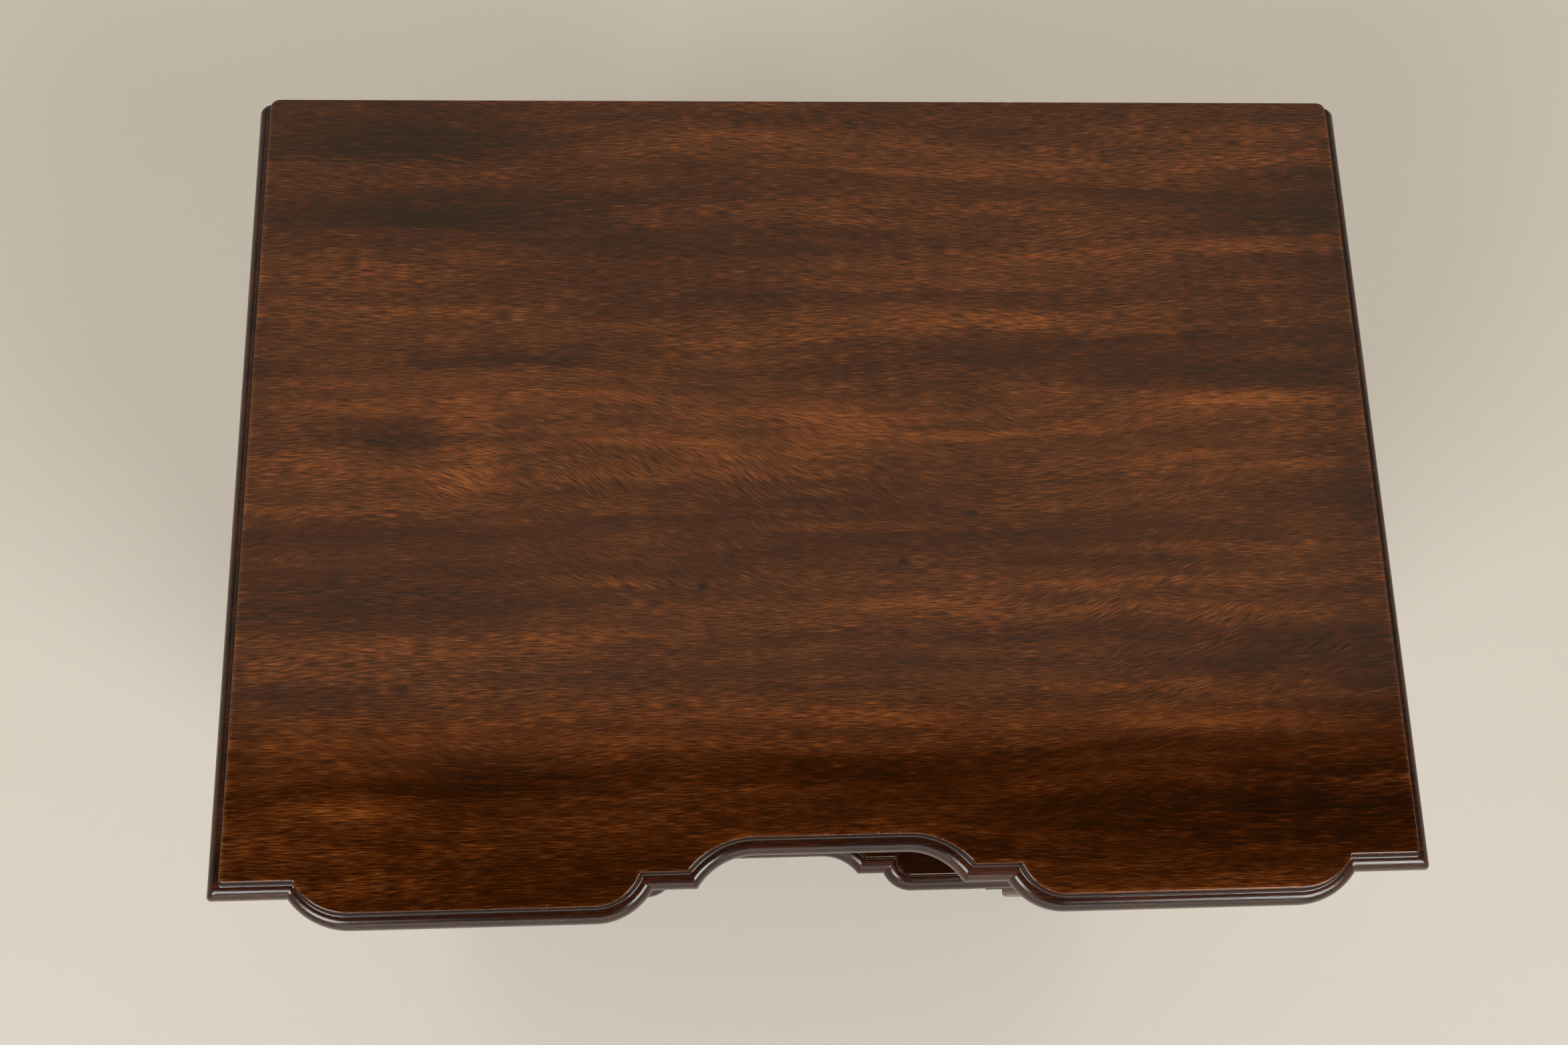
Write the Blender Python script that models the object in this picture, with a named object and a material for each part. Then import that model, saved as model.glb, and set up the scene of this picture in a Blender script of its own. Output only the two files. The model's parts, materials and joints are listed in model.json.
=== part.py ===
"""Block-front nightstand in dark mahogany: a moulded top, one blocked drawer over an open compartment,
a moulded base and four ogee bracket feet.

Metres, +Z up, the front faces -Y. The origin is on the floor, in the middle of the overall width and
depth. Depths run forward from the back edge of the top, and "out" is how far a line lies outside the
face of the case.
"""

import math

import bmesh
import bpy
from mathutils import Vector

# Overall sizes
TOP_WIDTH = 0.606
TOP_DEPTH = 0.440
HEIGHT = 0.680
JOINT_GAP = 0.0003

# Blocked front, drawn on the case face
RECESS_FLAT = 0.076
RECESS_RADIUS = 0.0536
RECESS_FALL = 0.0155
INNER_FLAT = 0.0278
BLOCK_RADIUS = 0.0124
BLOCK_RISE = 0.0155
CORNER_FLAT = 0.032
ARC_STEPS = 6
CURVE_STEPS = 8

# Top board and its moulded edge
TOP_THICKNESS = 0.021
TOP_OVERHANG = 0.020
TOP_END_RADIUS = 0.0194
TOP_CORNER_FLAT = 0.0304
EDGE_PROJECTION = 0.0084
EDGE_EASE = 0.0010
COVE_WIDTH = 0.0021
COVE_HEIGHT = 0.0038
FILLET_WIDTH = 0.0006
OVOLO_HEIGHT = 0.0072
EDGE_BAND = 0.0012
UNDERCUT = 0.0030
FRONT_CORNER_EASE = 0.0020
BACK_CORNER_EASE = 0.0040

# Case
SIDE_THICKNESS = 0.020
CASE_SETBACK = 0.008
BACK_THICKNESS = 0.006
BACK_RABBET = 0.008
SHELF_THICKNESS = 0.020
TOP_RAIL_HEIGHT = 0.012
DRAWER_RAIL_HEIGHT = 0.016
RAIL_WIDTH = 0.060
REAR_RAIL_HEIGHT = 0.026
REAR_RAIL_THICKNESS = 0.018

# Drawer opening and what carries the drawer
DRAWER_OPENING = 0.085
DRAWER_CLEARANCE = 0.0012
RUNNER_WIDTH = 0.032
KICKER_WIDTH = 0.022
KICKER_CLEARANCE = 0.0015
DUST_THICKNESS = 0.005
GROOVE_DEPTH = 0.005
STOP_SIZE = (0.030, 0.018, 0.005)
STOP_SPACING = 0.240

# Drawer box
DRAWER_FRONT_LEAST = 0.018
DRAWER_SIDE_THICKNESS = 0.011
DRAWER_SIDE_HEIGHT = 0.070
DRAWER_BACK_SPACE = 0.012
DRAWER_BOTTOM_THICKNESS = 0.005
DRAWER_BOTTOM_RAISE = 0.009
BEAD_THICKNESS = 0.003
BEAD_PROJECTION = 0.0022
BEAD_EASE = 0.0009

# Base moulding
BASE_HEIGHT = 0.028
BASE_OVERHANG = 0.014
BASE_FILLET_WIDTH = 0.0023
BASE_FILLET_DROP = 0.0022
BASE_QUIRK = 0.0008
BASE_ROUND_HEIGHT = 0.0125
BASE_COVE_WIDTH = 0.0050
BASE_COVE_HEIGHT = 0.0080

# Ogee bracket feet
FOOT_HEIGHT = 0.092
FOOT_SHOULDER = 0.008
FOOT_BELLY = 0.023
FOOT_BELLY_HEIGHT = 0.046
FOOT_ANKLE = 0.001
FOOT_ANKLE_HEIGHT = 0.013
FOOT_TOE = 0.004
FOOT_TOE_HEIGHT = 0.007
FOOT_STOCK = 0.014
FOOT_PAD = 0.040
FOOT_REACH = 0.083
FOOT_CURVE_EASE = 0.0043
FOOT_WING = 0.098
FOOT_LIP = 0.006
FOOT_REAR_THICKNESS = 0.016
FOOT_BLOCK_SIZE = 0.024
FOOT_BLOCK_LIFT = 0.003

# Pulls
PULL_SPACING = 0.064
PLATE_THICKNESS = 0.0018
PLATE_RADIUS = 0.033
PLATE_SAG = 0.07
PLATE_WAVES = ((2, 0.34), (4, 0.07), (6, -0.05), (10, -0.05))
PLATE_POINTS = 56
POST_STANDOFF = 0.0115
POST_HEAD_RADIUS = 0.0050
POST_HEAD_ANGLES = (-52, 76)
POST_NECK_RADIUS = 0.0030
POST_COLLAR_RADIUS = 0.0058
POST_COLLAR_HEIGHT = 0.0022
POST_SHANK_RADIUS = 0.0024
POST_SHANK_END = 0.002
ROUND_SIDES = 16
NUT_RADIUS = 0.0050
NUT_THICKNESS = 0.0040
BAIL_PIN_RADIUS = 0.0017
BAIL_RADIUS = 0.0024
BAIL_MIDDLE_RADIUS = 0.0031
BAIL_BEND = 0.0052
BAIL_DROP = 0.031

# Screws that hold the top down
SCREW_SPACING = 0.300
SCREW_RADIUS = 0.0022
SCREW_HEAD_RADIUS = 0.0044
SCREW_HEAD_HEIGHT = 0.0030
SCREW_HEAD_SINK = 0.0010
SCREW_BITE = 0.013

# Places that follow from the sizes above
CUT_MARGIN = 0.010
CASE_HALF = TOP_WIDTH / 2 - TOP_OVERHANG
OPENING_HALF = CASE_HALF - SIDE_THICKNESS
FACE_BLOCK = TOP_DEPTH - TOP_OVERHANG
FACE_STEP = FACE_BLOCK - BLOCK_RISE
FACE_RECESS = FACE_STEP - RECESS_FALL
CASE_FRONT_OF_BACK = CASE_SETBACK + BACK_THICKNESS + JOINT_GAP
RAIL_BACK = FACE_RECESS - RAIL_WIDTH

UNDER_TOP = HEIGHT - TOP_THICKNESS
OPENING_TOP = UNDER_TOP - JOINT_GAP - TOP_RAIL_HEIGHT
OPENING_BOTTOM = OPENING_TOP - DRAWER_OPENING
CASE_BOTTOM = FOOT_HEIGHT + JOINT_GAP
SHELF_TOP = CASE_BOTTOM + BASE_HEIGHT
KICKER_BOTTOM = OPENING_BOTTOM + JOINT_GAP + DRAWER_SIDE_HEIGHT + KICKER_CLEARANCE

RECESS_END = RECESS_FLAT / 2
RECESS_EDGE = RECESS_END + math.sqrt(RECESS_FALL * (2 * RECESS_RADIUS - RECESS_FALL))
BLOCK_INNER = RECESS_EDGE + INNER_FLAT + BLOCK_RADIUS
BLOCK_OUTER = CASE_HALF - CORNER_FLAT - BLOCK_RADIUS
BLOCK_CENTRE = (BLOCK_INNER + BLOCK_OUTER) / 2
BLOCK_END = (BLOCK_OUTER, BLOCK_RADIUS)
TOP_BLOCK_END = (CASE_HALF - TOP_CORNER_FLAT - TOP_END_RADIUS, TOP_END_RADIUS)

DRAWER_HALF = OPENING_HALF - DRAWER_CLEARANCE
DRAWER_FRONT_BACK = FACE_RECESS - DRAWER_FRONT_LEAST
DRAWER_LOW = OPENING_BOTTOM + DRAWER_CLEARANCE
DRAWER_HIGH = OPENING_TOP - DRAWER_CLEARANCE
DRAWER_MIDDLE = (DRAWER_LOW + DRAWER_HIGH) / 2
DRAWER_END = CASE_FRONT_OF_BACK + REAR_RAIL_THICKNESS + DRAWER_BACK_SPACE
DRAWER_SIDE_LOW = OPENING_BOTTOM + JOINT_GAP
DRAWER_BOTTOM_LOW = DRAWER_SIDE_LOW + DRAWER_BOTTOM_RAISE

PLATE_BACK = FACE_BLOCK + JOINT_GAP
PLATE_FRONT = PLATE_BACK + PLATE_THICKNESS
PIVOT_DEPTH = PLATE_FRONT + POST_STANDOFF

OVERALL_DEPTH = FACE_BLOCK + max(TOP_OVERHANG, FOOT_BELLY)
TOP_BACK_Y = OVERALL_DEPTH / 2

SIDES = (("left", -1), ("right", 1))
FORWARD = (0, -1, 0)
UPWARD = (0, 0, 1)


def at(x, depth, z):
    return Vector((x, TOP_BACK_Y - depth, z))


def blend(low, high, share):
    return low + (high - low) * share


# Curves in a plane

def ellipse_arc(centre, radii, start, end, steps):
    """Points of an ellipse from the start angle to the end angle, in degrees, both included."""
    angles = (math.radians(blend(start, end, i / steps)) for i in range(steps + 1))
    return [(centre[0] + radii[0] * math.cos(a), centre[1] + radii[1] * math.sin(a)) for a in angles]


def bezier(p0, p1, p2, p3, steps):
    points = []
    for i in range(steps + 1):
        t = i / steps
        weights = ((1 - t) ** 3, 3 * t * (1 - t) ** 2, 3 * t * t * (1 - t), t ** 3)
        points.append(tuple(sum(w * p[k] for w, p in zip(weights, (p0, p1, p2, p3))) for k in range(2)))
    return points


def block_outer_arc(out, end=BLOCK_END):
    """The rounded outer end of the right-hand block, from its flat front to the step at the corner."""
    start, bend = end
    radius = bend + out
    turn = math.degrees(math.acos(max(0.0, 1 - BLOCK_RISE / radius)))
    arc = ellipse_arc((start, FACE_BLOCK - bend), (radius, radius), 90, 90 - turn, ARC_STEPS)
    return arc[:-1] + [(arc[-1][0], FACE_STEP + out)]


def front_line(out, end=BLOCK_END):
    """The blocked front from left to right, as (x, depth), between the steps at the two corners."""
    radius = RECESS_RADIUS - out
    turn = math.degrees(math.acos(1 - RECESS_FALL / radius))
    centre = (RECESS_END, FACE_RECESS + RECESS_RADIUS)
    hollow = ellipse_arc(centre, (radius, radius), -90, -90 + turn, ARC_STEPS)
    inner = [(2 * BLOCK_CENTRE - x, depth) for x, depth in reversed(block_outer_arc(out))]
    right = hollow + inner + block_outer_arc(out, end)
    return [(-x, depth) for x, depth in reversed(right)] + right


def mitred_front(out):
    """The blocked front with the mitred corners at its two ends."""
    corner = (CASE_HALF + out, FACE_STEP + out)
    return [(-corner[0], corner[1]), *front_line(out), corner]


# Meshes, drawn in world coordinates

def loft(rings):
    """A closed solid through rings with equal numbers of points, capped at both ends."""
    mesh = bmesh.new()
    loops = [[mesh.verts.new(point) for point in ring] for ring in rings]
    for low, high in zip(loops, loops[1:]):
        for i in range(len(low)):
            j = (i + 1) % len(low)
            mesh.faces.new((low[i], low[j], high[j], high[i]))
    mesh.faces.new(reversed(loops[0]))
    mesh.faces.new(loops[-1])
    if mesh.calc_volume(signed=True) < 0:
        bmesh.ops.reverse_faces(mesh, faces=mesh.faces)
    return mesh


def box(xs, depths, zs):
    ring = [(xs[0], depths[0]), (xs[1], depths[0]), (xs[1], depths[1]), (xs[0], depths[1])]
    return prism(ring, zs)


def prism(outline, zs):
    """An outline of (x, depth) points raised between two heights."""
    return loft([[at(x, depth, z) for x, depth in outline] for z in zs])


def turned(profile, place, along):
    """A turned solid: profile points are (radius, distance), rings are square to the axis."""
    along = Vector(along)
    across = along.orthogonal().normalized()
    third = along.cross(across)
    rings = []
    for radius, distance in profile:
        ring = []
        for i in range(ROUND_SIDES):
            a = 2 * math.pi * i / ROUND_SIDES
            ring.append(place + along * distance + (across * math.cos(a) + third * math.sin(a)) * radius)
        rings.append(ring)
    return loft(rings)


# Objects

def finish(name, colour, roughness, metallic=0.0):
    material = bpy.data.materials.new(name)
    material.use_nodes = True
    shader = material.node_tree.nodes["Principled BSDF"]
    shader.inputs["Base Color"].default_value = (*colour, 1.0)
    shader.inputs["Roughness"].default_value = roughness
    shader.inputs["Metallic"].default_value = metallic
    return material


def body(name, place):
    empty = bpy.data.objects.new(name, None)
    empty.location = place
    bpy.context.collection.objects.link(empty)
    return empty


def piece(name, mesh, material, parent, origin=None):
    """A named object with its origin at the given point, or in the middle of its box."""
    if origin is None:
        corners = [vert.co for vert in mesh.verts]
        low = Vector(min(c[k] for c in corners) for k in range(3))
        high = Vector(max(c[k] for c in corners) for k in range(3))
        origin = (low + high) / 2
    bmesh.ops.translate(mesh, verts=mesh.verts, vec=-origin)
    data = bpy.data.meshes.new(name)
    mesh.to_mesh(data)
    mesh.free()
    data.shade_smooth()
    data.set_sharp_from_angle(angle=math.radians(30))
    obj = bpy.data.objects.new(name, data)
    data.materials.append(material)
    obj.parent = parent
    obj.location = origin - parent.location
    bpy.context.collection.objects.link(obj)
    return obj


def cut(targets, name, mesh, parent):
    """Cut a hidden shape out of each of the targets."""
    cutter = piece(name, mesh, STEEL, parent)
    cutter.hide_render = True
    cutter.display_type = "WIRE"
    for target in targets:
        modifier = target.modifiers.new(name, "BOOLEAN")
        modifier.operation = "DIFFERENCE"
        modifier.solver = "MANIFOLD"
        modifier.object = cutter


def let_in(name, spans, material, receivers, parent):
    """A flat panel whose edges stand in grooves of the pieces round it."""
    piece(name, box(*spans), material, parent)
    groove = [(low - JOINT_GAP, high + JOINT_GAP) for low, high in spans]
    cut(receivers, name + "_groove", box(*groove), parent)


# Top

def edge_profile():
    """The moulded edge of the top from its arris down to its underside, as (out, z)."""
    arris = TOP_OVERHANG - EDGE_PROJECTION
    cove_top = HEIGHT - EDGE_EASE
    cove_foot = cove_top - COVE_HEIGHT
    widest = cove_foot - OVOLO_HEIGHT
    fillet = arris + COVE_WIDTH + FILLET_WIDTH
    ease = ellipse_arc((arris - EDGE_EASE, cove_top), (EDGE_EASE, EDGE_EASE), 90, 0, 2)
    cove = ellipse_arc((arris + COVE_WIDTH, cove_top), (COVE_WIDTH, COVE_HEIGHT), 180, 270, 4)
    ovolo = ellipse_arc((fillet, widest), (TOP_OVERHANG - fillet, OVOLO_HEIGHT), 90, 0, 6)
    under = ellipse_arc((TOP_OVERHANG - UNDERCUT, widest - EDGE_BAND), (UNDERCUT, UNDERCUT), 0, -90, 3)
    return [*ease, *cove[1:], *ovolo, *under, (TOP_OVERHANG - UNDERCUT, UNDER_TOP)]


def top_outline(out):
    half = CASE_HALF + out
    front = FACE_STEP + out
    ease = FRONT_CORNER_EASE
    back = BACK_CORNER_EASE
    right = [
        *ellipse_arc((half - ease, front - ease), (ease, ease), 90, 0, 3),
        *ellipse_arc((half - back, back), (back, back), 0, -90, 3),
    ]
    return [*((-x, depth) for x, depth in reversed(right)), *front_line(out, TOP_BLOCK_END), *right]


def make_top(carcase):
    rings = [[at(x, depth, z) for x, depth in top_outline(out)] for out, z in edge_profile()]
    return piece("top_board", loft(rings), MAHOGANY, carcase)


# Case

def blocked_board(half, back, out=0.0):
    """The plan of a board with the blocked front, between two straight ends."""
    ends = [(half, FACE_STEP + out), (half, back), (-half, back), (-half, FACE_STEP + out)]
    return [*front_line(out), *ends]


def make_case(carcase):
    panels = []
    for side, sign in SIDES:
        xs = sorted((sign * OPENING_HALF, sign * CASE_HALF))
        panel = box(xs, (CASE_SETBACK, FACE_STEP), (CASE_BOTTOM, UNDER_TOP - JOINT_GAP))
        panels.append(piece(side + "_side_panel", panel, MAHOGANY, carcase))

    inner = OPENING_HALF - JOINT_GAP
    shelf = blocked_board(inner, CASE_FRONT_OF_BACK)
    piece("shelf_board", prism(shelf, (SHELF_TOP - SHELF_THICKNESS, SHELF_TOP)), MAHOGANY, carcase)

    rabbet = OPENING_HALF + BACK_RABBET
    cut(panels, "back_rabbet", box((-rabbet, rabbet), (0, CASE_FRONT_OF_BACK), (0, HEIGHT)), carcase)
    seat = rabbet - JOINT_GAP
    depths = (CASE_SETBACK, CASE_SETBACK + BACK_THICKNESS)
    back = box((-seat, seat), depths, (CASE_BOTTOM, UNDER_TOP - JOINT_GAP))
    piece("back_panel", back, PLYWOOD, carcase)

    plan = blocked_board(inner, RAIL_BACK)
    top_rail = piece("top_rail", prism(plan, (OPENING_TOP, UNDER_TOP - JOINT_GAP)), MAHOGANY, carcase)
    drawer_rail = prism(plan, (OPENING_BOTTOM - DRAWER_RAIL_HEIGHT, OPENING_BOTTOM))
    drawer_rail = piece("drawer_rail", drawer_rail, MAHOGANY, carcase)

    depths = (CASE_FRONT_OF_BACK, CASE_FRONT_OF_BACK + REAR_RAIL_THICKNESS)
    zs = (UNDER_TOP - JOINT_GAP - REAR_RAIL_HEIGHT, UNDER_TOP - JOINT_GAP)
    rear_rail = piece("rear_top_rail", box((-inner, inner), depths, zs), POPLAR, carcase)
    return top_rail, rear_rail, drawer_rail


def make_drawer_ways(carcase, drawer_rail):
    """Runners under the drawer sides, kickers over them, a dust panel and the stops."""
    inner = OPENING_HALF - JOINT_GAP
    rear_rail_front = CASE_FRONT_OF_BACK + REAR_RAIL_THICKNESS
    runners = []
    for side, sign in SIDES:
        xs = sorted((sign * (inner - RUNNER_WIDTH), sign * inner))
        zs = (OPENING_BOTTOM - DRAWER_RAIL_HEIGHT, OPENING_BOTTOM)
        runner = box(xs, (CASE_FRONT_OF_BACK, RAIL_BACK - JOINT_GAP), zs)
        runners.append(piece(side + "_drawer_runner", runner, POPLAR, carcase))

        xs = sorted((sign * (inner - KICKER_WIDTH), sign * inner))
        depths = (rear_rail_front + JOINT_GAP, RAIL_BACK - JOINT_GAP)
        kicker = box(xs, depths, (KICKER_BOTTOM, UNDER_TOP - JOINT_GAP))
        piece(side + "_drawer_kicker", kicker, POPLAR, carcase)

        middle = sign * STOP_SPACING / 2
        xs = (middle - STOP_SIZE[0] / 2, middle + STOP_SIZE[0] / 2)
        depths = (DRAWER_FRONT_BACK - JOINT_GAP - STOP_SIZE[1], DRAWER_FRONT_BACK - JOINT_GAP)
        zs = (OPENING_BOTTOM + JOINT_GAP, OPENING_BOTTOM + JOINT_GAP + STOP_SIZE[2])
        piece(side + "_drawer_stop", box(xs, depths, zs), POPLAR, carcase)

    half = inner - RUNNER_WIDTH + GROOVE_DEPTH
    low = OPENING_BOTTOM - (DRAWER_RAIL_HEIGHT + DUST_THICKNESS) / 2
    spans = ((-half, half), (CASE_FRONT_OF_BACK, RAIL_BACK + GROOVE_DEPTH), (low, low + DUST_THICKNESS))
    let_in("dust_panel", spans, PLYWOOD, [*runners, drawer_rail], carcase)


# Screws through the rails into the top

def screw_profile(low, head, reach, gap):
    """A screw, or with a gap the hole for it, as (radius, height above the foot of its head)."""
    wide = SCREW_HEAD_RADIUS + gap
    slim = SCREW_RADIUS + gap
    return [(wide, low), (wide, head + gap), (slim, head + gap), (slim, reach + gap)]


def make_screws(carcase, top, top_rail, rear_rail):
    rear_depth = CASE_FRONT_OF_BACK + REAR_RAIL_THICKNESS / 2
    rear_low = UNDER_TOP - JOINT_GAP - REAR_RAIL_HEIGHT
    rows = (
        ("front", top_rail, FACE_RECESS - RAIL_WIDTH / 2, OPENING_TOP),
        ("rear", rear_rail, rear_depth, rear_low),
    )
    for row, rail, depth, rail_low in rows:
        for side, sign in SIDES:
            foot = at(sign * SCREW_SPACING / 2, depth, rail_low + SCREW_HEAD_SINK)
            reach = UNDER_TOP + SCREW_BITE - foot.z
            screw = turned(screw_profile(0.0, SCREW_HEAD_HEIGHT, reach, 0.0), foot, UPWARD)
            piece(f"{row}_{side}_top_screw", screw, STEEL, carcase)
            hole = turned(screw_profile(-CUT_MARGIN, SCREW_HEAD_HEIGHT, reach, JOINT_GAP), foot, UPWARD)
            cut([rail, top], f"{row}_{side}_screw_hole", hole, carcase)


# Base moulding

def base_profile():
    """The base moulding from the foot of its back face up and over to its underside, as (out, z)."""
    fillet_foot = SHELF_TOP - BASE_FILLET_DROP
    round_start = BASE_FILLET_WIDTH + BASE_QUIRK
    widest = fillet_foot - BASE_ROUND_HEIGHT
    cove_foot = widest - BASE_COVE_HEIGHT
    radii = (BASE_OVERHANG - round_start, BASE_ROUND_HEIGHT)
    ovolo = ellipse_arc((round_start, widest), radii, 90, 0, CURVE_STEPS)
    cove = ellipse_arc((BASE_OVERHANG, cove_foot), (BASE_COVE_WIDTH, BASE_COVE_HEIGHT), 90, 180, 4)
    return [
        (JOINT_GAP, CASE_BOTTOM),
        (JOINT_GAP, SHELF_TOP),
        (BASE_FILLET_WIDTH, SHELF_TOP),
        (BASE_FILLET_WIDTH, fillet_foot - BASE_QUIRK),
        (round_start, fillet_foot - BASE_QUIRK),
        *ovolo,
        *cove[1:],
        (BASE_OVERHANG - BASE_COVE_WIDTH, CASE_BOTTOM),
    ]


def make_base(carcase):
    profile = base_profile()
    lines = [[at(x, depth, z) for x, depth in mitred_front(out)] for out, z in profile]
    piece("base_moulding_front", loft(list(zip(*lines))), MAHOGANY, carcase)
    for side, sign in SIDES:
        back = [at(sign * (CASE_HALF + out), CASE_SETBACK, z) for out, z in profile]
        mitre = [at(sign * (CASE_HALF + out), FACE_STEP + out - 2 * JOINT_GAP, z) for out, z in profile]
        piece("base_moulding_" + side, loft([back, mitre]), MAHOGANY, carcase)


# Feet

def ogee_profile():
    """The curved face of a foot from its top down to the floor, as (out, z)."""
    radii = (FOOT_BELLY - FOOT_SHOULDER, FOOT_HEIGHT - FOOT_BELLY_HEIGHT)
    belly = ellipse_arc((FOOT_SHOULDER, FOOT_BELLY_HEIGHT), radii, 90, 0, CURVE_STEPS)
    bend = (FOOT_BELLY_HEIGHT + FOOT_ANKLE_HEIGHT) / 2
    sweep = bezier(
        (FOOT_BELLY, FOOT_BELLY_HEIGHT),
        (FOOT_BELLY, bend),
        (FOOT_ANKLE, bend),
        (FOOT_ANKLE, FOOT_ANKLE_HEIGHT),
        CURVE_STEPS,
    )
    return [*belly, *sweep[1:], (FOOT_TOE, FOOT_TOE_HEIGHT), (FOOT_TOE, 0.0)]


def bracket_cut():
    """What is sawn out under a bracket, as (distance from the corner, z)."""
    lip = FOOT_HEIGHT - FOOT_LIP
    curve = bezier(
        (FOOT_PAD, FOOT_TOE_HEIGHT),
        (FOOT_PAD + FOOT_CURVE_EASE, lip / 2),
        (FOOT_REACH - FOOT_CURVE_EASE, lip / 2),
        (FOOT_REACH, lip),
        CURVE_STEPS,
    )
    end = FOOT_WING + CUT_MARGIN
    return [(FOOT_PAD, -CUT_MARGIN), *curve, (end, lip), (end, -CUT_MARGIN)]


def make_front_foot(carcase, side, sign):
    profile = ogee_profile()
    back = FACE_STEP - FOOT_STOCK
    inner_end = CASE_HALF - FOOT_WING
    lines = []
    for out, z in profile:
        run = [(inner_end, FACE_BLOCK + out), *block_outer_arc(out), (CASE_HALF + out, FACE_STEP + out)]
        lines.append([at(sign * x, depth, z) for x, depth in run])
    run = [inner_end, *(x for x, depth in block_outer_arc(0.0)), CASE_HALF - FOOT_STOCK]
    for z in (0.0, FOOT_HEIGHT):
        lines.append([at(sign * x, back, z) for x in run])
    face = piece(f"front_{side}_foot_face", loft(list(zip(*lines))), MAHOGANY, carcase)
    depths = (back - CUT_MARGIN, OVERALL_DEPTH + CUT_MARGIN)
    rings = [[at(sign * (CASE_HALF - u), depth, z) for u, z in bracket_cut()] for depth in depths]
    cut([face], f"front_{side}_face_cut", loft(rings), carcase)

    make_side_bracket(carcase, f"front_{side}_foot_return", sign, FACE_STEP, -1)


def make_side_bracket(carcase, name, sign, corner, way):
    """The half of a foot that lies along the side of the case: it runs from the corner the given way."""
    mitre = 1.0 if way < 0 else 0.0
    inset = 2 * JOINT_GAP if way < 0 else 0.0
    profile = ogee_profile() + [(-FOOT_STOCK, 0.0), (-FOOT_STOCK, FOOT_HEIGHT)]
    start = [at(sign * (CASE_HALF + out), corner + mitre * out - inset, z) for out, z in profile]
    end = [at(sign * (CASE_HALF + out), corner + way * FOOT_WING, z) for out, z in profile]
    bracket = piece(name, loft([start, end]), MAHOGANY, carcase)
    widths = (CASE_HALF - FOOT_STOCK - CUT_MARGIN, CASE_HALF + FOOT_BELLY + CUT_MARGIN)
    rings = [[at(sign * x, corner + way * u, z) for u, z in bracket_cut()] for x in widths]
    cut([bracket], name + "_cut", loft(rings), carcase)


def make_rear_foot(carcase, side, sign):
    make_side_bracket(carcase, f"rear_{side}_foot_side", sign, CASE_SETBACK, 1)
    xs = sorted((sign * (CASE_HALF - FOOT_STOCK - JOINT_GAP), sign * (CASE_HALF - FOOT_WING)))
    depths = (CASE_SETBACK, CASE_SETBACK + FOOT_REAR_THICKNESS)
    board = piece(f"rear_{side}_foot_back", box(xs, depths, (0.0, FOOT_HEIGHT)), POPLAR, carcase)
    reach = (depths[0] - CUT_MARGIN, depths[1] + CUT_MARGIN)
    rings = [[at(sign * (CASE_HALF - u), depth, z) for u, z in bracket_cut()] for depth in reach]
    cut([board], f"rear_{side}_back_cut", loft(rings), carcase)


def make_feet(carcase):
    outer = CASE_HALF - FOOT_STOCK - JOINT_GAP
    front = FACE_STEP - FOOT_STOCK - JOINT_GAP
    rear = CASE_SETBACK + FOOT_REAR_THICKNESS + JOINT_GAP
    for side, sign in SIDES:
        make_front_foot(carcase, side, sign)
        make_rear_foot(carcase, side, sign)
        xs = sorted((sign * (outer - FOOT_BLOCK_SIZE), sign * outer))
        for end, near in (("front", front - FOOT_BLOCK_SIZE), ("rear", rear)):
            block = box(xs, (near, near + FOOT_BLOCK_SIZE), (FOOT_BLOCK_LIFT, FOOT_HEIGHT))
            piece(f"{end}_{side}_foot_block", block, POPLAR, carcase)


# Drawer

def make_beads(drawer):
    """Thin beads let in round the drawer front, a little proud of its face."""
    edges = ((BEAD_PROJECTION - BEAD_EASE, 0), (BEAD_PROJECTION, BEAD_EASE))
    nose = [*edges, *((out, BEAD_THICKNESS - lift) for out, lift in reversed(edges))]
    for name, low in (("drawer_bead_bottom", DRAWER_LOW), ("drawer_bead_top", DRAWER_HIGH - BEAD_THICKNESS)):
        rings = []
        for out, lift in nose:
            plan = blocked_board(DRAWER_HALF, DRAWER_FRONT_BACK, out)
            rings.append([at(x, depth, low + lift) for x, depth in plan])
        piece(name, loft(rings), MAHOGANY, drawer)
    zs = (DRAWER_LOW + BEAD_THICKNESS + JOINT_GAP, DRAWER_HIGH - BEAD_THICKNESS - JOINT_GAP)
    for side, sign in SIDES:
        outline = [(sign * DRAWER_HALF, DRAWER_FRONT_BACK)]
        outline += [(sign * (DRAWER_HALF - lift), FACE_STEP + out) for out, lift in nose]
        outline.append((sign * (DRAWER_HALF - BEAD_THICKNESS), DRAWER_FRONT_BACK))
        piece("drawer_bead_" + side, prism(outline, zs), MAHOGANY, drawer)


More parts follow.
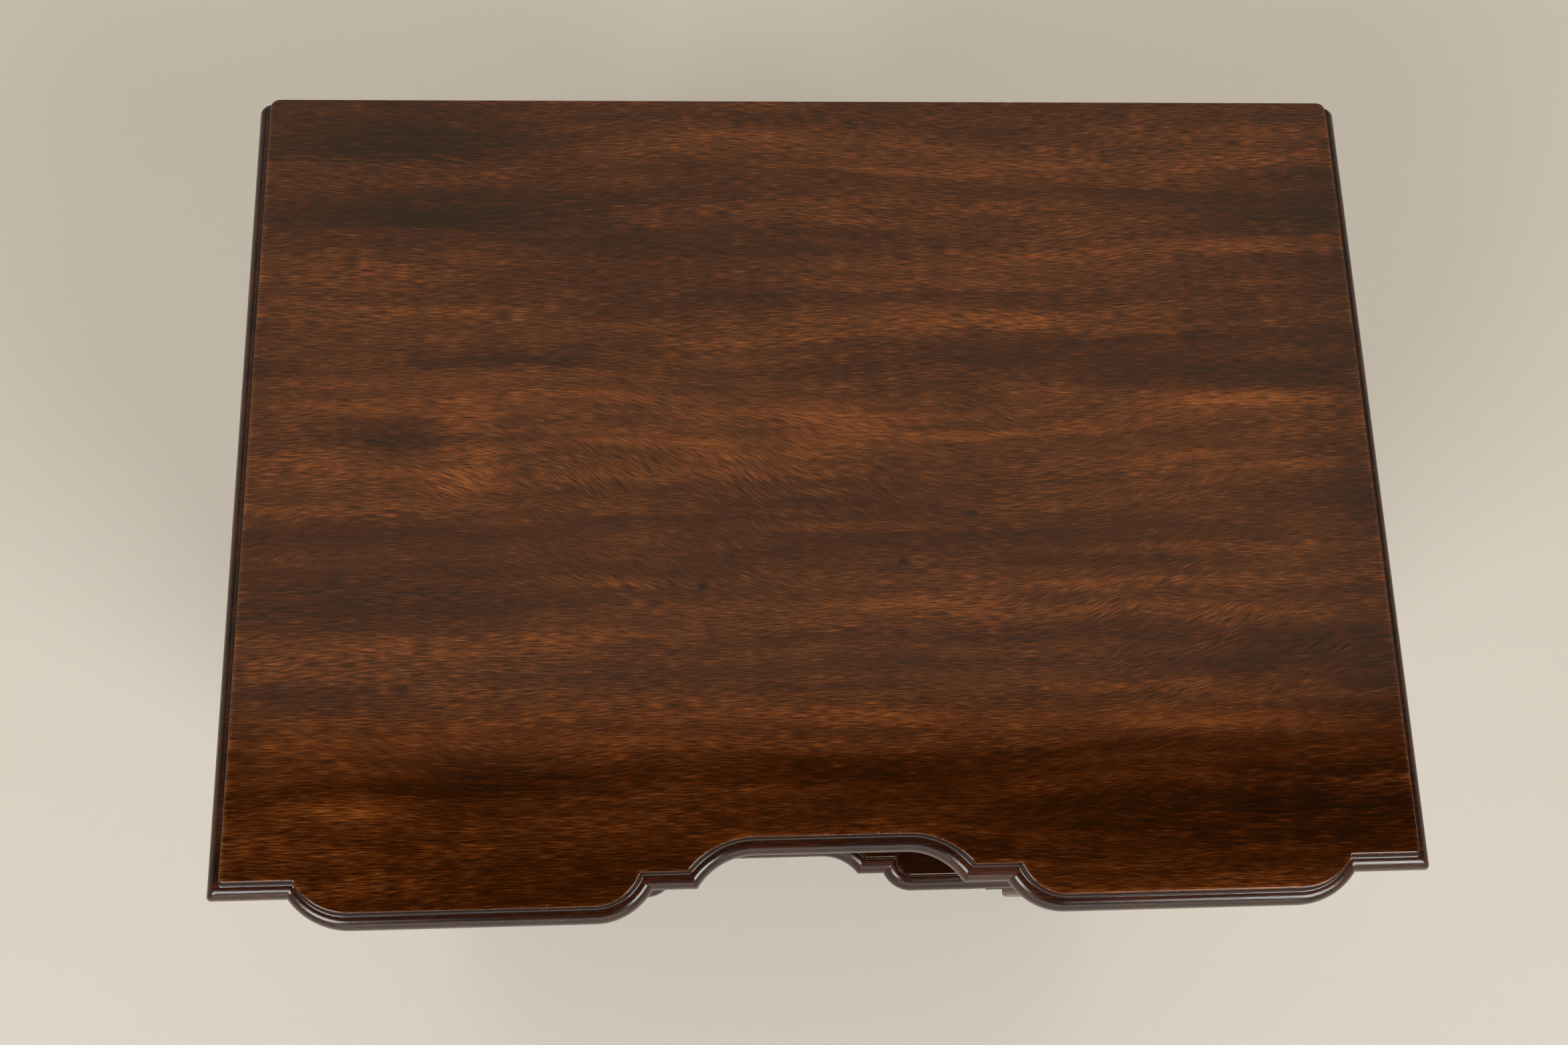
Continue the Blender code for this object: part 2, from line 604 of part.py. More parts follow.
def make_drawer_box(drawer):
    trim = BEAD_THICKNESS + JOINT_GAP
    zs = (DRAWER_LOW + trim, DRAWER_HIGH - trim)
    front = prism(blocked_board(DRAWER_HALF - trim, DRAWER_FRONT_BACK), zs)
    front = piece("drawer_front", front, MAHOGANY, drawer)

    inner = DRAWER_HALF - DRAWER_SIDE_THICKNESS
    zs = (DRAWER_SIDE_LOW, DRAWER_SIDE_LOW + DRAWER_SIDE_HEIGHT)
    sides = []
    for side, sign in SIDES:
        xs = sorted((sign * inner, sign * DRAWER_HALF))
        board = box(xs, (DRAWER_END, DRAWER_FRONT_BACK - JOINT_GAP), zs)
        sides.append(piece(f"drawer_{side}_side", board, POPLAR, drawer))

    half = inner - JOINT_GAP
    depths = (DRAWER_END, DRAWER_END + DRAWER_SIDE_THICKNESS)
    low = DRAWER_BOTTOM_LOW + DRAWER_BOTTOM_THICKNESS + JOINT_GAP
    piece("drawer_back", box((-half, half), depths, (low, zs[1])), POPLAR, drawer)

    half = inner + GROOVE_DEPTH
    depths = (DRAWER_END, DRAWER_FRONT_BACK + GROOVE_DEPTH)
    zs = (DRAWER_BOTTOM_LOW, DRAWER_BOTTOM_LOW + DRAWER_BOTTOM_THICKNESS)
    let_in("drawer_bottom", ((-half, half), depths, zs), PLYWOOD, [front, *sides], drawer)
    return front


# Pulls

def plate_outline():
    """The scalloped plate: a wide oval that sags a little, with shoulders and small points."""
    points = []
    for i in range(PLATE_POINTS):
        a = 2 * math.pi * i / PLATE_POINTS
        swell = 1 - PLATE_SAG * math.sin(a) + sum(size * math.cos(n * a) for n, size in PLATE_WAVES)
        points.append((PLATE_RADIUS * swell * math.cos(a), PLATE_RADIUS * swell * math.sin(a)))
    return points


def post_profile():
    """A post from the end of its threaded shank to the crown of its round head, as (radius, depth)."""
    shank_end = DRAWER_FRONT_BACK - JOINT_GAP - NUT_THICKNESS - POST_SHANK_END
    collar = PLATE_FRONT + JOINT_GAP
    neck = collar + POST_COLLAR_HEIGHT
    radii = (POST_HEAD_RADIUS, POST_HEAD_RADIUS)
    head = ellipse_arc((0.0, PIVOT_DEPTH), radii, *POST_HEAD_ANGLES, CURVE_STEPS)
    return [
        (POST_SHANK_RADIUS, shank_end),
        (POST_SHANK_RADIUS, collar),
        (POST_COLLAR_RADIUS, collar),
        (POST_COLLAR_RADIUS, blend(collar, neck, 0.5)),
        (POST_NECK_RADIUS, neck),
        *head,
    ]


def make_post(drawer, name, x):
    post = turned(post_profile(), at(x, 0.0, DRAWER_MIDDLE), FORWARD)
    post = piece(name, post, BRASS, drawer)
    bore = BAIL_PIN_RADIUS + JOINT_GAP
    half = POST_HEAD_RADIUS + CUT_MARGIN
    hole = turned([(bore, -half), (bore, half)], at(x, PIVOT_DEPTH, DRAWER_MIDDLE), (1, 0, 0))
    cut([post], name + "_eye", hole, drawer)

    nut_back = DRAWER_FRONT_BACK - JOINT_GAP - NUT_THICKNESS
    hexagon = ellipse_arc((x, DRAWER_MIDDLE), (NUT_RADIUS, NUT_RADIUS), 0, 360, 6)[:-1]
    depths = (nut_back, nut_back + NUT_THICKNESS)
    rings = [[at(dx, depth, dz) for dx, dz in hexagon] for depth in depths]
    return piece(name + "_nut", loft(rings), BRASS, drawer)


def make_bail(drawer, name, centre):
    """A bail bent from one rod: a pin at each end, a bend, and a bow that hangs below."""
    pin_in = PULL_SPACING / 2 - POST_HEAD_RADIUS - BAIL_RADIUS / 2
    bend_start = PULL_SPACING / 2 + POST_HEAD_RADIUS + BAIL_RADIUS
    widest = bend_start + BAIL_BEND
    pins = [(pin_in, 0.0), (bend_start - BAIL_RADIUS / 2, 0.0)]
    bend = ellipse_arc((bend_start, -BAIL_BEND), (BAIL_BEND, BAIL_BEND), 90, 0, 4)
    bow = ellipse_arc((0.0, -BAIL_BEND), (widest, BAIL_DROP - BAIL_BEND), 0, -90, CURVE_STEPS)
    right = [*pins, *bend, *bow[1:]]
    radii = [BAIL_PIN_RADIUS] * len(pins)
    radii += [blend(BAIL_PIN_RADIUS, BAIL_RADIUS, i / (len(bend) - 1)) for i in range(len(bend))]
    radii += [blend(BAIL_RADIUS, BAIL_MIDDLE_RADIUS, (i / CURVE_STEPS) ** 2) for i in range(1, len(bow))]
    points = right + [(-x, z) for x, z in reversed(right[:-1])]
    radii = radii + radii[-2::-1]

    curve = bpy.data.curves.new(name, "CURVE")
    curve.dimensions = "3D"
    curve.bevel_depth = 1.0
    curve.bevel_resolution = 2
    curve.use_fill_caps = True
    spline = curve.splines.new("POLY")
    spline.points.add(len(points) - 1)
    for point, (x, z), radius in zip(spline.points, points, radii):
        point.co = (x, 0.0, z, 1.0)
        point.radius = radius
    curve.materials.append(BRASS)
    bail = bpy.data.objects.new(name, curve)
    bail.parent = drawer
    bail.location = at(centre, PIVOT_DEPTH, DRAWER_MIDDLE) - drawer.location
    bpy.context.collection.objects.link(bail)


def make_pulls(drawer, drawer_front):
    hole = POST_SHANK_RADIUS + JOINT_GAP
    for side, sign in SIDES:
        centre = sign * BLOCK_CENTRE
        rings = []
        for depth in (PLATE_BACK, PLATE_FRONT):
            rings.append([at(centre + x, depth, DRAWER_MIDDLE + z) for x, z in plate_outline()])
        plate = piece(side + "_pull_plate", loft(rings), BRASS, drawer)
        for end, way in (("outer", sign), ("inner", -sign)):
            x = centre + way * PULL_SPACING / 2
            name = f"{side}_pull_{end}_post"
            nut = make_post(drawer, name, x)
            span = [(hole, DRAWER_FRONT_BACK - NUT_THICKNESS - CUT_MARGIN), (hole, PLATE_FRONT + CUT_MARGIN)]
            drill = turned(span, at(x, 0.0, DRAWER_MIDDLE), FORWARD)
            cut([drawer_front, plate, nut], name + "_hole", drill, drawer)
        make_bail(drawer, side + "_pull_bail", centre)


for stale in list(bpy.data.objects):
    bpy.data.objects.remove(stale)

MAHOGANY = finish("mahogany", (0.045, 0.016, 0.006), 0.32)
POPLAR = finish("poplar", (0.42, 0.28, 0.15), 0.65)
PLYWOOD = finish("plywood", (0.36, 0.22, 0.11), 0.6)
BRASS = finish("brass", (0.55, 0.38, 0.13), 0.35, 1.0)
STEEL = finish("steel", (0.45, 0.45, 0.46), 0.4, 1.0)


def main():
    carcase = body("carcase", Vector((0.0, 0.0, 0.0)))
    drawer = body("drawer", at(0.0, FACE_RECESS, DRAWER_MIDDLE))
    top = make_top(carcase)
    top_rail, rear_rail, drawer_rail = make_case(carcase)
    make_drawer_ways(carcase, drawer_rail)
    make_screws(carcase, top, top_rail, rear_rail)
    make_base(carcase)
    make_feet(carcase)
    drawer_front = make_drawer_box(drawer)
    make_beads(drawer)
    make_pulls(drawer, drawer_front)


main()
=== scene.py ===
# %% [markdown]
# # A block-front nightstand in dark mahogany
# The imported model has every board, foot and pull at its real size and place. This lesson gives it its
# looks: eased and rubbed edges, lacquered mahogany with the figure that the real top shows, bare poplar
# and plywood where nobody polishes, and brass that hands have worn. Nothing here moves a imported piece.

import json
import math

import bmesh
import bpy
from mathutils import Matrix, Vector

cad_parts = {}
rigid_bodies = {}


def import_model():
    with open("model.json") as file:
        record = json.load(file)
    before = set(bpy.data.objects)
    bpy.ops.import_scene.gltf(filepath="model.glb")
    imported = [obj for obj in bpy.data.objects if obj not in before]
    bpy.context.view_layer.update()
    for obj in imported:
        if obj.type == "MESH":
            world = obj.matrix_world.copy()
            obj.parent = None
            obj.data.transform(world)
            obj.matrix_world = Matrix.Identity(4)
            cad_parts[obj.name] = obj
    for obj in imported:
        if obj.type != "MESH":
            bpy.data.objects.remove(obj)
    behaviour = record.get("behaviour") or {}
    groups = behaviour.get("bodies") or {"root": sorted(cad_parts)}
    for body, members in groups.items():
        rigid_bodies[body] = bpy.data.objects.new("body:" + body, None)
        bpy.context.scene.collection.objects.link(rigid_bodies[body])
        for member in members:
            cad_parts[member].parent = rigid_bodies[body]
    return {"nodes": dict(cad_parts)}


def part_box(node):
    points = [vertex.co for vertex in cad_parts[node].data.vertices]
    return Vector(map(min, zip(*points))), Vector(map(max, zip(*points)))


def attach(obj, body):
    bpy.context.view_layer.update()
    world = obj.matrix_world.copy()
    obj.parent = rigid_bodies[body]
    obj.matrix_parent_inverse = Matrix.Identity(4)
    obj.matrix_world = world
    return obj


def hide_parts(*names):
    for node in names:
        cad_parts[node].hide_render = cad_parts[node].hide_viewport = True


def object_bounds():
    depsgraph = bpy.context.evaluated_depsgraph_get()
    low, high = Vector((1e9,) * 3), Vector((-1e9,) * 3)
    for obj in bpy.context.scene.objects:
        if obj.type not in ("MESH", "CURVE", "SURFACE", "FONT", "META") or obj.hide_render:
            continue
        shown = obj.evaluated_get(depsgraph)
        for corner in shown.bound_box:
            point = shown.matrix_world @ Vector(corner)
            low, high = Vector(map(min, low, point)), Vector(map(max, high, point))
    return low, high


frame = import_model()
nodes = frame["nodes"]
cad_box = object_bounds()
print(f"{len(nodes)} nodes in a box {cad_box[1].z:.3f} m high")

# %% [markdown]
# ## Two helpers
# Colours are written as sRGB hex values, as on a paint chart, and Cycles works in linear light, so one
# function turns the first into the second. Every node of every material and of every Geometry Nodes tree
# is added by one other function, which also makes its links, so a tree reads from top to bottom.

# %% Colours and nodes
def linear(colour):
    """An sRGB hex colour as linear red, green, blue and alpha."""
    channels = (int(colour[i:i + 2], 16) / 255 for i in (1, 3, 5))
    return (*(c / 12.92 if c <= 0.04045 else ((c + 0.055) / 1.055) ** 2.4 for c in channels), 1.0)


def add(tree, kind, inputs=None, stops=(), **settings):
    """A node with its settings. Each input gets a value, or a socket to link from."""
    node = tree.nodes.new(kind)
    for name, value in settings.items():
        setattr(node, name, value)
    if stops:
        elements = node.color_ramp.elements
        elements.remove(elements[1])
        elements[0].position = stops[0][0]
        elements[0].color = linear(stops[0][1])
        for place, colour in stops[1:]:
            elements.new(place).color = linear(colour)
    for key, value in (inputs or {}).items():
        if isinstance(value, bpy.types.NodeSocket):
            tree.links.new(value, node.inputs[key])
        else:
            node.inputs[key].default_value = value
    return node


print("mid brown in linear light:", [round(c, 3) for c in linear("#4A230A")])

# %% [markdown]
# ## The camera
# The photograph looks steeply down on the top. A pinhole camera was fitted to its straight lines, which
# gives the focal length in pixels and the place of the lens in the frame of the model. Three plain turns
# are easier to read than a matrix: a heading, a tilt away from straight down, and a roll about the line
# of sight.

# %% Camera
PHOTO_WIDTH = 2352
FOCAL_PIXELS = 2150
SENSOR_WIDTH = 36.0
CAMERA_PLACE = (-0.0595, -0.1985, 1.398)
CAMERA_TURNS = ((-12.64, "Z"), (14.26, "X"), (11.55, "Z"))

scene = bpy.context.scene
camera = bpy.data.objects.new("camera", bpy.data.cameras.new("camera"))
camera.data.sensor_width = SENSOR_WIDTH
camera.data.lens = SENSOR_WIDTH * FOCAL_PIXELS / PHOTO_WIDTH
camera.matrix_world = Matrix.Translation(CAMERA_PLACE)
for angle, axis in CAMERA_TURNS:
    camera.matrix_world = camera.matrix_world @ Matrix.Rotation(math.radians(angle), 4, axis)
scene.collection.objects.link(camera)
scene.camera = camera
scene.view_settings.view_transform = "Standard"
print(f"lens {camera.data.lens:.1f} mm")

# %% [markdown]
# ## The floor
# A pale floor that curves up into a high round rim, as a photographer's sweep does, gives every view a plain
# background. It is a profile of radius and height, turned about the vertical, in matt paint.

# %% Floor
FLOOR_COLOUR = "#D3CDC2"
FLOOR_ROUGHNESS = 0.9
FLOOR_RADIUS = 2.6
FLOOR_SIDES = 96
SWEEP_RADIUS = 0.9
SWEEP_STEPS = 12
RIM_TOP = 3.0


def floor_mesh():
    profile = [(FLOOR_RADIUS, 0.0)]
    for step in range(1, SWEEP_STEPS + 1):
        a = math.radians(90 * step / SWEEP_STEPS)
        profile.append((FLOOR_RADIUS + SWEEP_RADIUS * math.sin(a), SWEEP_RADIUS * (1 - math.cos(a))))
    profile.append((FLOOR_RADIUS + SWEEP_RADIUS, RIM_TOP))
    mesh = bmesh.new()
    rings = []
    for radius, height in profile:
        turns = (2 * math.pi * i / FLOOR_SIDES for i in range(FLOOR_SIDES))
        rings.append([mesh.verts.new((radius * math.cos(a), radius * math.sin(a), height)) for a in turns])
    mesh.faces.new(rings[0])
    for low, high in zip(rings, rings[1:]):
        for i in range(FLOOR_SIDES):
            j = (i + 1) % FLOOR_SIDES
            mesh.faces.new((low[j], low[i], high[i], high[j])).smooth = True
    data = bpy.data.meshes.new("studio_floor")
    mesh.to_mesh(data)
    mesh.free()
    return data


def new_material(name):
    material = bpy.data.materials.new(name)
    material.use_nodes = True
    tree = material.node_tree
    return material, tree, tree.nodes["Principled BSDF"]


floor = bpy.data.objects.new("studio_floor", floor_mesh())
scene.collection.objects.link(floor)
paint, _, paint_shader = new_material("matt floor paint")
paint_shader.inputs["Base Color"].default_value = linear(FLOOR_COLOUR)
paint_shader.inputs["Roughness"].default_value = FLOOR_ROUGHNESS
floor.data.materials.append(paint)
print("floor:", len(floor.data.polygons), "faces")

# %% [markdown]
# ## The lights
# The light is soft: a wide bank overhead and behind, which the lacquer mirrors over most of the top and not
# along its front, two boxes in front of the corners, whose light runs along the curved parts of the
# mouldings, a weak fill between them and a wide one behind. Area lights give soft edges without any glare.

# %% Lights
WHITE = "#FFFFFF"
WARM_WHITE = "#FFF2D6"
WORLD_STRENGTH = 0.015
MIDDLE = (0.0, 0.0, 0.45)
FLOOR_BEHIND = (0.0, 1.40, 0.0)
# Name, place, target, width and height in metres, power in watts, colour
LIGHTS = (
    ("overhead_bank", (0.0, 1.40, 2.7), FLOOR_BEHIND, (3.6, 2.6), 15, WARM_WHITE),
    ("left_box", (-1.65, -1.9, 2.75), MIDDLE, (1.1, 1.2), 61, WHITE),
    ("right_box", (1.65, -1.8, 2.75), MIDDLE, (1.1, 1.2), 57, WHITE),
    ("front_fill", (0.0, -2.9, 1.2), MIDDLE, (3.0, 1.6), 16, WHITE),
    ("rear_fill", (-0.2, 2.7, 2.2), MIDDLE, (3.4, 1.8), 24, WHITE),
)


def soft_light(name, place, target, size, power, colour):
    lamp = bpy.data.lights.new(name, "AREA")
    lamp.shape = "RECTANGLE"
    lamp.size, lamp.size_y = size
    lamp.energy = power
    lamp.color = linear(colour)[:3]
    box = bpy.data.objects.new(name, lamp)
    box.location = place
    box.rotation_euler = (Vector(target) - Vector(place)).to_track_quat("-Z", "Y").to_euler()
    box.visible_camera = False
    scene.collection.objects.link(box)


for light in LIGHTS:
    soft_light(*light)
scene.world = bpy.data.worlds.new("studio")
scene.world.use_nodes = True
background = scene.world.node_tree.nodes["Background"]
background.inputs["Color"].default_value = linear(WHITE)
background.inputs["Strength"].default_value = WORLD_STRENGTH

# %% [markdown]
# ## Grain
# Wood is a bundle of fibres, so what shows in it is long one way and thin the other two. A noise texture
# can be made so: divide its coordinates by the length, width and depth of a lump in millimetres. Another
# helper turns Object coordinates so that the first runs along the grain, moves them by a seed, so that no
# two boards match, and lets the lines wander a little. A third draws a soft oval, for a mark at one place.

# %% Grain
MM = 1000.0
GRAIN_ALONG_X = (0.0, 0.0, 0.0)
GRAIN_ALONG_X_UPRIGHT = (math.radians(90), 0.0, 0.0)
GRAIN_ALONG_Y = (0.0, 0.0, math.radians(90))
GRAIN_ALONG_Z = (0.0, math.radians(90), 0.0)
WANDER_SIZE = (210.0, 75.0, 75.0)
WANDER = 30.0


def stretched_noise(tree, vector, size, detail):
    """A noise whose lumps have the given size in millimetres."""
    cells = add(tree, "ShaderNodeVectorMath", {0: vector, 1: [1 / s for s in size]}, operation="MULTIPLY")
    noise = add(tree, "ShaderNodeTexNoise", {"Vector": cells.outputs[0], "Scale": 1.0, "Detail": detail})
    return noise.outputs["Fac"]


def soft_spot(tree, vector, along, across, half_length, half_width):
    """One in the middle of an oval patch, and softly down to nothing round it."""
    away = add(tree, "ShaderNodeVectorMath", {0: vector, 1: (along, across, 0.0)}, operation="SUBTRACT")
    shares = (1 / half_length, 1 / half_width, 0.0)
    away = add(tree, "ShaderNodeVectorMath", {0: away.outputs[0], 1: shares}, operation="MULTIPLY")
    away = {0: away.outputs[0], 1: away.outputs[0]}
    away = add(tree, "ShaderNodeVectorMath", away, operation="DOT_PRODUCT").outputs["Value"]
    away = add(tree, "ShaderNodeMath", {0: away, 1: -1.0}, operation="MULTIPLY").outputs[0]
    return add(tree, "ShaderNodeMath", {0: away}, operation="EXPONENT").outputs[0]


def grain_lines(tree, turn, seed):
    """Coordinates in mm along, across and through the grain, plain ones and ones that wander a little."""
    place = add(tree, "ShaderNodeTexCoord").outputs["Object"]
    turned = add(tree, "ShaderNodeMapping", {"Vector": place, "Rotation": turn, "Scale": (MM, MM, MM)})
    plain = turned.outputs[0]
    moved = add(tree, "ShaderNodeVectorMath", {0: plain, 1: seed}, operation="ADD").outputs[0]
    drift = stretched_noise(tree, moved, WANDER_SIZE, 1.0)
    drift = add(tree, "ShaderNodeMath", {0: drift, 1: WANDER, 2: -WANDER / 2}, operation="MULTIPLY_ADD")
    drift = add(tree, "ShaderNodeCombineXYZ", {1: drift.outputs[0]}).outputs[0]
    return plain, add(tree, "ShaderNodeVectorMath", {0: moved, 1: drift}, operation="ADD").outputs[0]


print(f"grain lines wander {WANDER / 2:.0f} mm either way at most")

# %% [markdown]
# ## Leaning fibres
# The fibres of mahogany are interlocked: they lean one way and then the other, and where a board is cut
# across that, the grain swirls. Bending one noise would crowd its lines, so a few noises, each turned by its
# own angle, are blended instead, and the spacing of the fibres stays the same everywhere. A patchy noise
# breaks the lean up, as the real layers do.

# %% Leaning fibres
LEAN_STEP = 18.0
LEANS = (-36.0, -18.0, 0.0, 18.0)
LOCKED_SIZE = (55.0, 13.0, 30.0)
LOCKED_EDGE = {"From Min": 0.4, "From Max": 0.58, "To Min": 0.1, "To Max": 1.1}


def lean_shares(tree, plain, flow, swirls):
    """How much of the grain leans by each of a few angles here. Swirls are oval spots with degrees."""
    if not swirls:
        return [(0.0, 1.0)]
    lean = 0.0
    for *spot, degrees in swirls:
        lean = {0: soft_spot(tree, plain, *spot), 1: degrees, 2: lean}
        lean = add(tree, "ShaderNodeMath", lean, operation="MULTIPLY_ADD").outputs[0]
    locked = {"Value": stretched_noise(tree, flow, LOCKED_SIZE, 2.0), **LOCKED_EDGE}
    locked = add(tree, "ShaderNodeMapRange", locked).outputs[0]
    lean = add(tree, "ShaderNodeMath", {0: lean, 1: locked}, operation="MULTIPLY").outputs[0]
    lean = add(tree, "ShaderNodeClamp", {"Value": lean, "Min": LEANS[0], "Max": LEANS[-1]}).outputs[0]
    shares = []
    for angle in LEANS:
        gap = add(tree, "ShaderNodeMath", {0: lean, 1: angle}, operation="SUBTRACT").outputs[0]
        gap = add(tree, "ShaderNodeMath", {0: gap}, operation="ABSOLUTE").outputs[0]
        share = {"Value": gap, "From Min": 0.0, "From Max": LEAN_STEP, "To Min": 1.0, "To Max": 0.0}
        shares.append((angle, add(tree, "ShaderNodeMapRange", share).outputs[0]))
    return shares


def leaning_noise(tree, vector, size, detail, shares):
    """A stretched noise of one spacing everywhere, whose lines lean as the grain does."""
    total = 0.0
    for angle, share in shares:
        lines = {"Vector": vector, "Rotation": (0.0, 0.0, math.radians(angle)), "Scale": size}
        lines = add(tree, "ShaderNodeMapping", lines, vector_type="TEXTURE").outputs[0]
        noise = add(tree, "ShaderNodeTexNoise", {"Vector": lines, "Scale": 1.0, "Detail": detail})
        total = {0: noise.outputs["Fac"], 1: share, 2: total}
        total = add(tree, "ShaderNodeMath", total, operation="MULTIPLY_ADD").outputs[0]
    return total


print("fibres can lean by", LEANS, "degrees")

# %% [markdown]
# ## Lacquered mahogany
# Mahogany is a reddish-brown hardwood. Sawn flat, it shows broad dark clouds along the grain, finer streaks,
# a faint mottle across, and short dark dashes, which are pores cut open lengthwise. A dark stain and a coat
# of satin lacquer make it glow. Each of these is a noise of its real size, and their weighted sum picks the
# colour from a row of tones. Crests are rubbed lighter, and bare in spots, hollows get a painted shade, and
# the sprayed coat has fine ripples. The bands run straight along the board, and only the fibres lean.

# %% Mahogany
LACQUER_IOR = 1.5
SATIN = (0.10, 0.16)
# Size along, across and through the grain in mm, detail, half width of the soft edge, weight in the tone
BANDS = (
    ("clouds", (300.0, 26.0, 60.0), 2.0, 0.25, 0.12),
    ("streaks", (150.0, 7.0, 20.0), 2.0, 0.20, 0.065),
    ("patches", (40.0, 8.0, 20.0), 2.0, 0.12, 0.028),
    ("mottle", (15.0, 45.0, 30.0), 1.0, 0.25, 0.02),
)
# Size in mm, detail and weight. The fibres are drawn as coarse as they need to show in the render
FLAMES = ((16.0, 1.5, 3.0), 2.0, 0.10)
FIBRES = ((9.0, 0.55, 0.8), 3.0, 1.30)
FLAME_PUSH = 12.0
MARK_FEATHER = {"From Min": 0.3, "From Max": 0.7, "To Min": 0.3, "To Max": 1.5}
# The pore colour is also the painted shade in the hollows of the mouldings.
PORE_AND_HOLLOW_SHADE_COLOUR = "#210E03"
PORE_EDGE = {"From Min": 0.42, "From Max": 0.34, "To Min": 0.0, "To Max": 0.5}
PORE_DEPTH = 0.6
# Rubbed crests are lifted lighter, and hollows, where rubbed is negative, are pushed darker as painted
# shade.
CREST_LIFT_AND_HOLLOW_SHADE = 0.12
BARE_EDGE = "#8A5430"
WEAR_GRIT = (1.6, 1.6, 1.6)
WEAR_WEIGHT = 0.62
WEAR_EDGE = {"From Min": 1.22, "From Max": 1.34, "To Min": 0.0, "To Max": 0.8}
WEAR_ROUGHNESS = 0.2
# How far a hollow, where rubbed is negative, is painted darker as shade.
HOLLOW_SHADE_EDGE = {"From Min": 0.0, "From Max": -1.0, "To Min": 0.0, "To Max": 0.75}
# Size of the ripples in the coat in mm, and their strength
SPRAYED = ((2.5, 2.5, 2.5), 0.12)
RIPPLE_HEIGHT = 0.00006


def mahogany(name, turn, seed, tones, marks=(), swirls=(), roughness=SATIN, peel=SPRAYED):
    """Stained and lacquered mahogany. Marks and swirls are oval spots in mm, each with its strength."""
    material, tree, shader = new_material(name)
    plain, flow = grain_lines(tree, turn, seed)
    shares = lean_shares(tree, plain, flow, swirls)
    size, detail, flame_weight = FLAMES
    flames = leaning_noise(tree, flow, size, detail, shares)
    size, detail, fibre_weight = FIBRES
    fibres = leaning_noise(tree, flow, size, detail, shares)
    push = add(tree, "ShaderNodeMath", {0: flames, 1: FLAME_PUSH}, operation="MULTIPLY").outputs[0]
    push = add(tree, "ShaderNodeCombineXYZ", {1: push}).outputs[0]
    banded = add(tree, "ShaderNodeVectorMath", {0: flow, 1: push}, operation="ADD").outputs[0]

    # The tone of the wood, from its figure
    tone = 0.5 - (flame_weight + fibre_weight) / 2
    for lines, weight in ((flames, flame_weight), (fibres, fibre_weight)):
        tone = {0: lines, 1: weight, 2: tone}
        tone = add(tree, "ShaderNodeMath", tone, operation="MULTIPLY_ADD").outputs[0]
    found = {}
    for part, size, detail, edge, weight in BANDS:
        found[part] = stretched_noise(tree, banded, size, detail)
        band = {"Value": found[part], "From Min": 0.5 - edge, "From Max": 0.5 + edge}
        band = {**band, "To Min": -weight, "To Max": weight}
        band = add(tree, "ShaderNodeMapRange", band, interpolation_type="SMOOTHSTEP").outputs[0]
        tone = add(tree, "ShaderNodeMath", {0: tone, 1: band}, operation="ADD").outputs[0]
    feather = add(tree, "ShaderNodeMapRange", {"Value": flames, **MARK_FEATHER}).outputs[0]
    for *spot, strength in marks:
        cloud = {0: soft_spot(tree, plain, *spot), 1: feather}
        cloud = add(tree, "ShaderNodeMath", cloud, operation="MULTIPLY").outputs[0]
        tone = {0: cloud, 1: strength, 2: tone}
        tone = add(tree, "ShaderNodeMath", tone, operation="MULTIPLY_ADD").outputs[0]
    # Worn crests read lighter, and hollows read darker as a painted shade.
    rubbed = add(tree, "ShaderNodeAttribute", attribute_name="rubbed").outputs["Fac"]
    tone = {0: rubbed, 1: CREST_LIFT_AND_HOLLOW_SHADE, 2: tone}
    tone = add(tree, "ShaderNodeMath", tone, operation="MULTIPLY_ADD").outputs[0]
    colour = add(tree, "ShaderNodeValToRGB", {"Fac": tone}, stops=tones).outputs["Color"]

    # Pores, then bare wood on the crests, then a painted shade in the hollows
    pores = add(tree, "ShaderNodeMapRange", {"Value": fibres, **PORE_EDGE}).outputs[0]
    grit = stretched_noise(tree, plain, WEAR_GRIT, 3.0)
    worn = {0: rubbed, 1: WEAR_WEIGHT, 2: grit}
    worn = add(tree, "ShaderNodeMath", worn, operation="MULTIPLY_ADD").outputs[0]
    worn = add(tree, "ShaderNodeMapRange", {"Value": worn, **WEAR_EDGE}).outputs[0]
    # The hollow mask is a painted shade in the recesses of the mouldings.
    hollow = add(tree, "ShaderNodeMapRange", {"Value": rubbed, **HOLLOW_SHADE_EDGE}).outputs[0]
    for share, shade in ((pores, PORE_AND_HOLLOW_SHADE_COLOUR), (worn, BARE_EDGE), (hollow, PORE_AND_HOLLOW_SHADE_COLOUR)):
        colour = {0: share, 6: colour, 7: linear(shade)}
        colour = add(tree, "ShaderNodeMix", colour, data_type="RGBA").outputs[2]

    # The coat: a little duller on some clouds and on bare wood, with ripples and sunken pores
    gloss = {"Value": found["clouds"], "From Min": 0.3, "From Max": 0.7}
    gloss = {**gloss, "To Min": roughness[0], "To Max": roughness[1]}
    gloss = add(tree, "ShaderNodeMapRange", gloss).outputs[0]
    gloss = {0: worn, 1: WEAR_ROUGHNESS, 2: gloss}
    gloss = add(tree, "ShaderNodeMath", gloss, operation="MULTIPLY_ADD").outputs[0]
    height = {0: pores, 1: -PORE_DEPTH, 2: stretched_noise(tree, plain, peel[0], 2.0)}
    height = add(tree, "ShaderNodeMath", height, operation="MULTIPLY_ADD").outputs[0]
    bump = add(tree, "ShaderNodeBump", {"Height": height, "Strength": peel[1], "Distance": RIPPLE_HEIGHT})
    for socket, value in (("Base Color", colour), ("Roughness", gloss), ("Normal", bump.outputs[0])):
        tree.links.new(value, shader.inputs[socket])
    shader.inputs["IOR"].default_value = LACQUER_IOR
    return material


print("layers in the figure:", [band[0] for band in BANDS], "with flames and fibres")
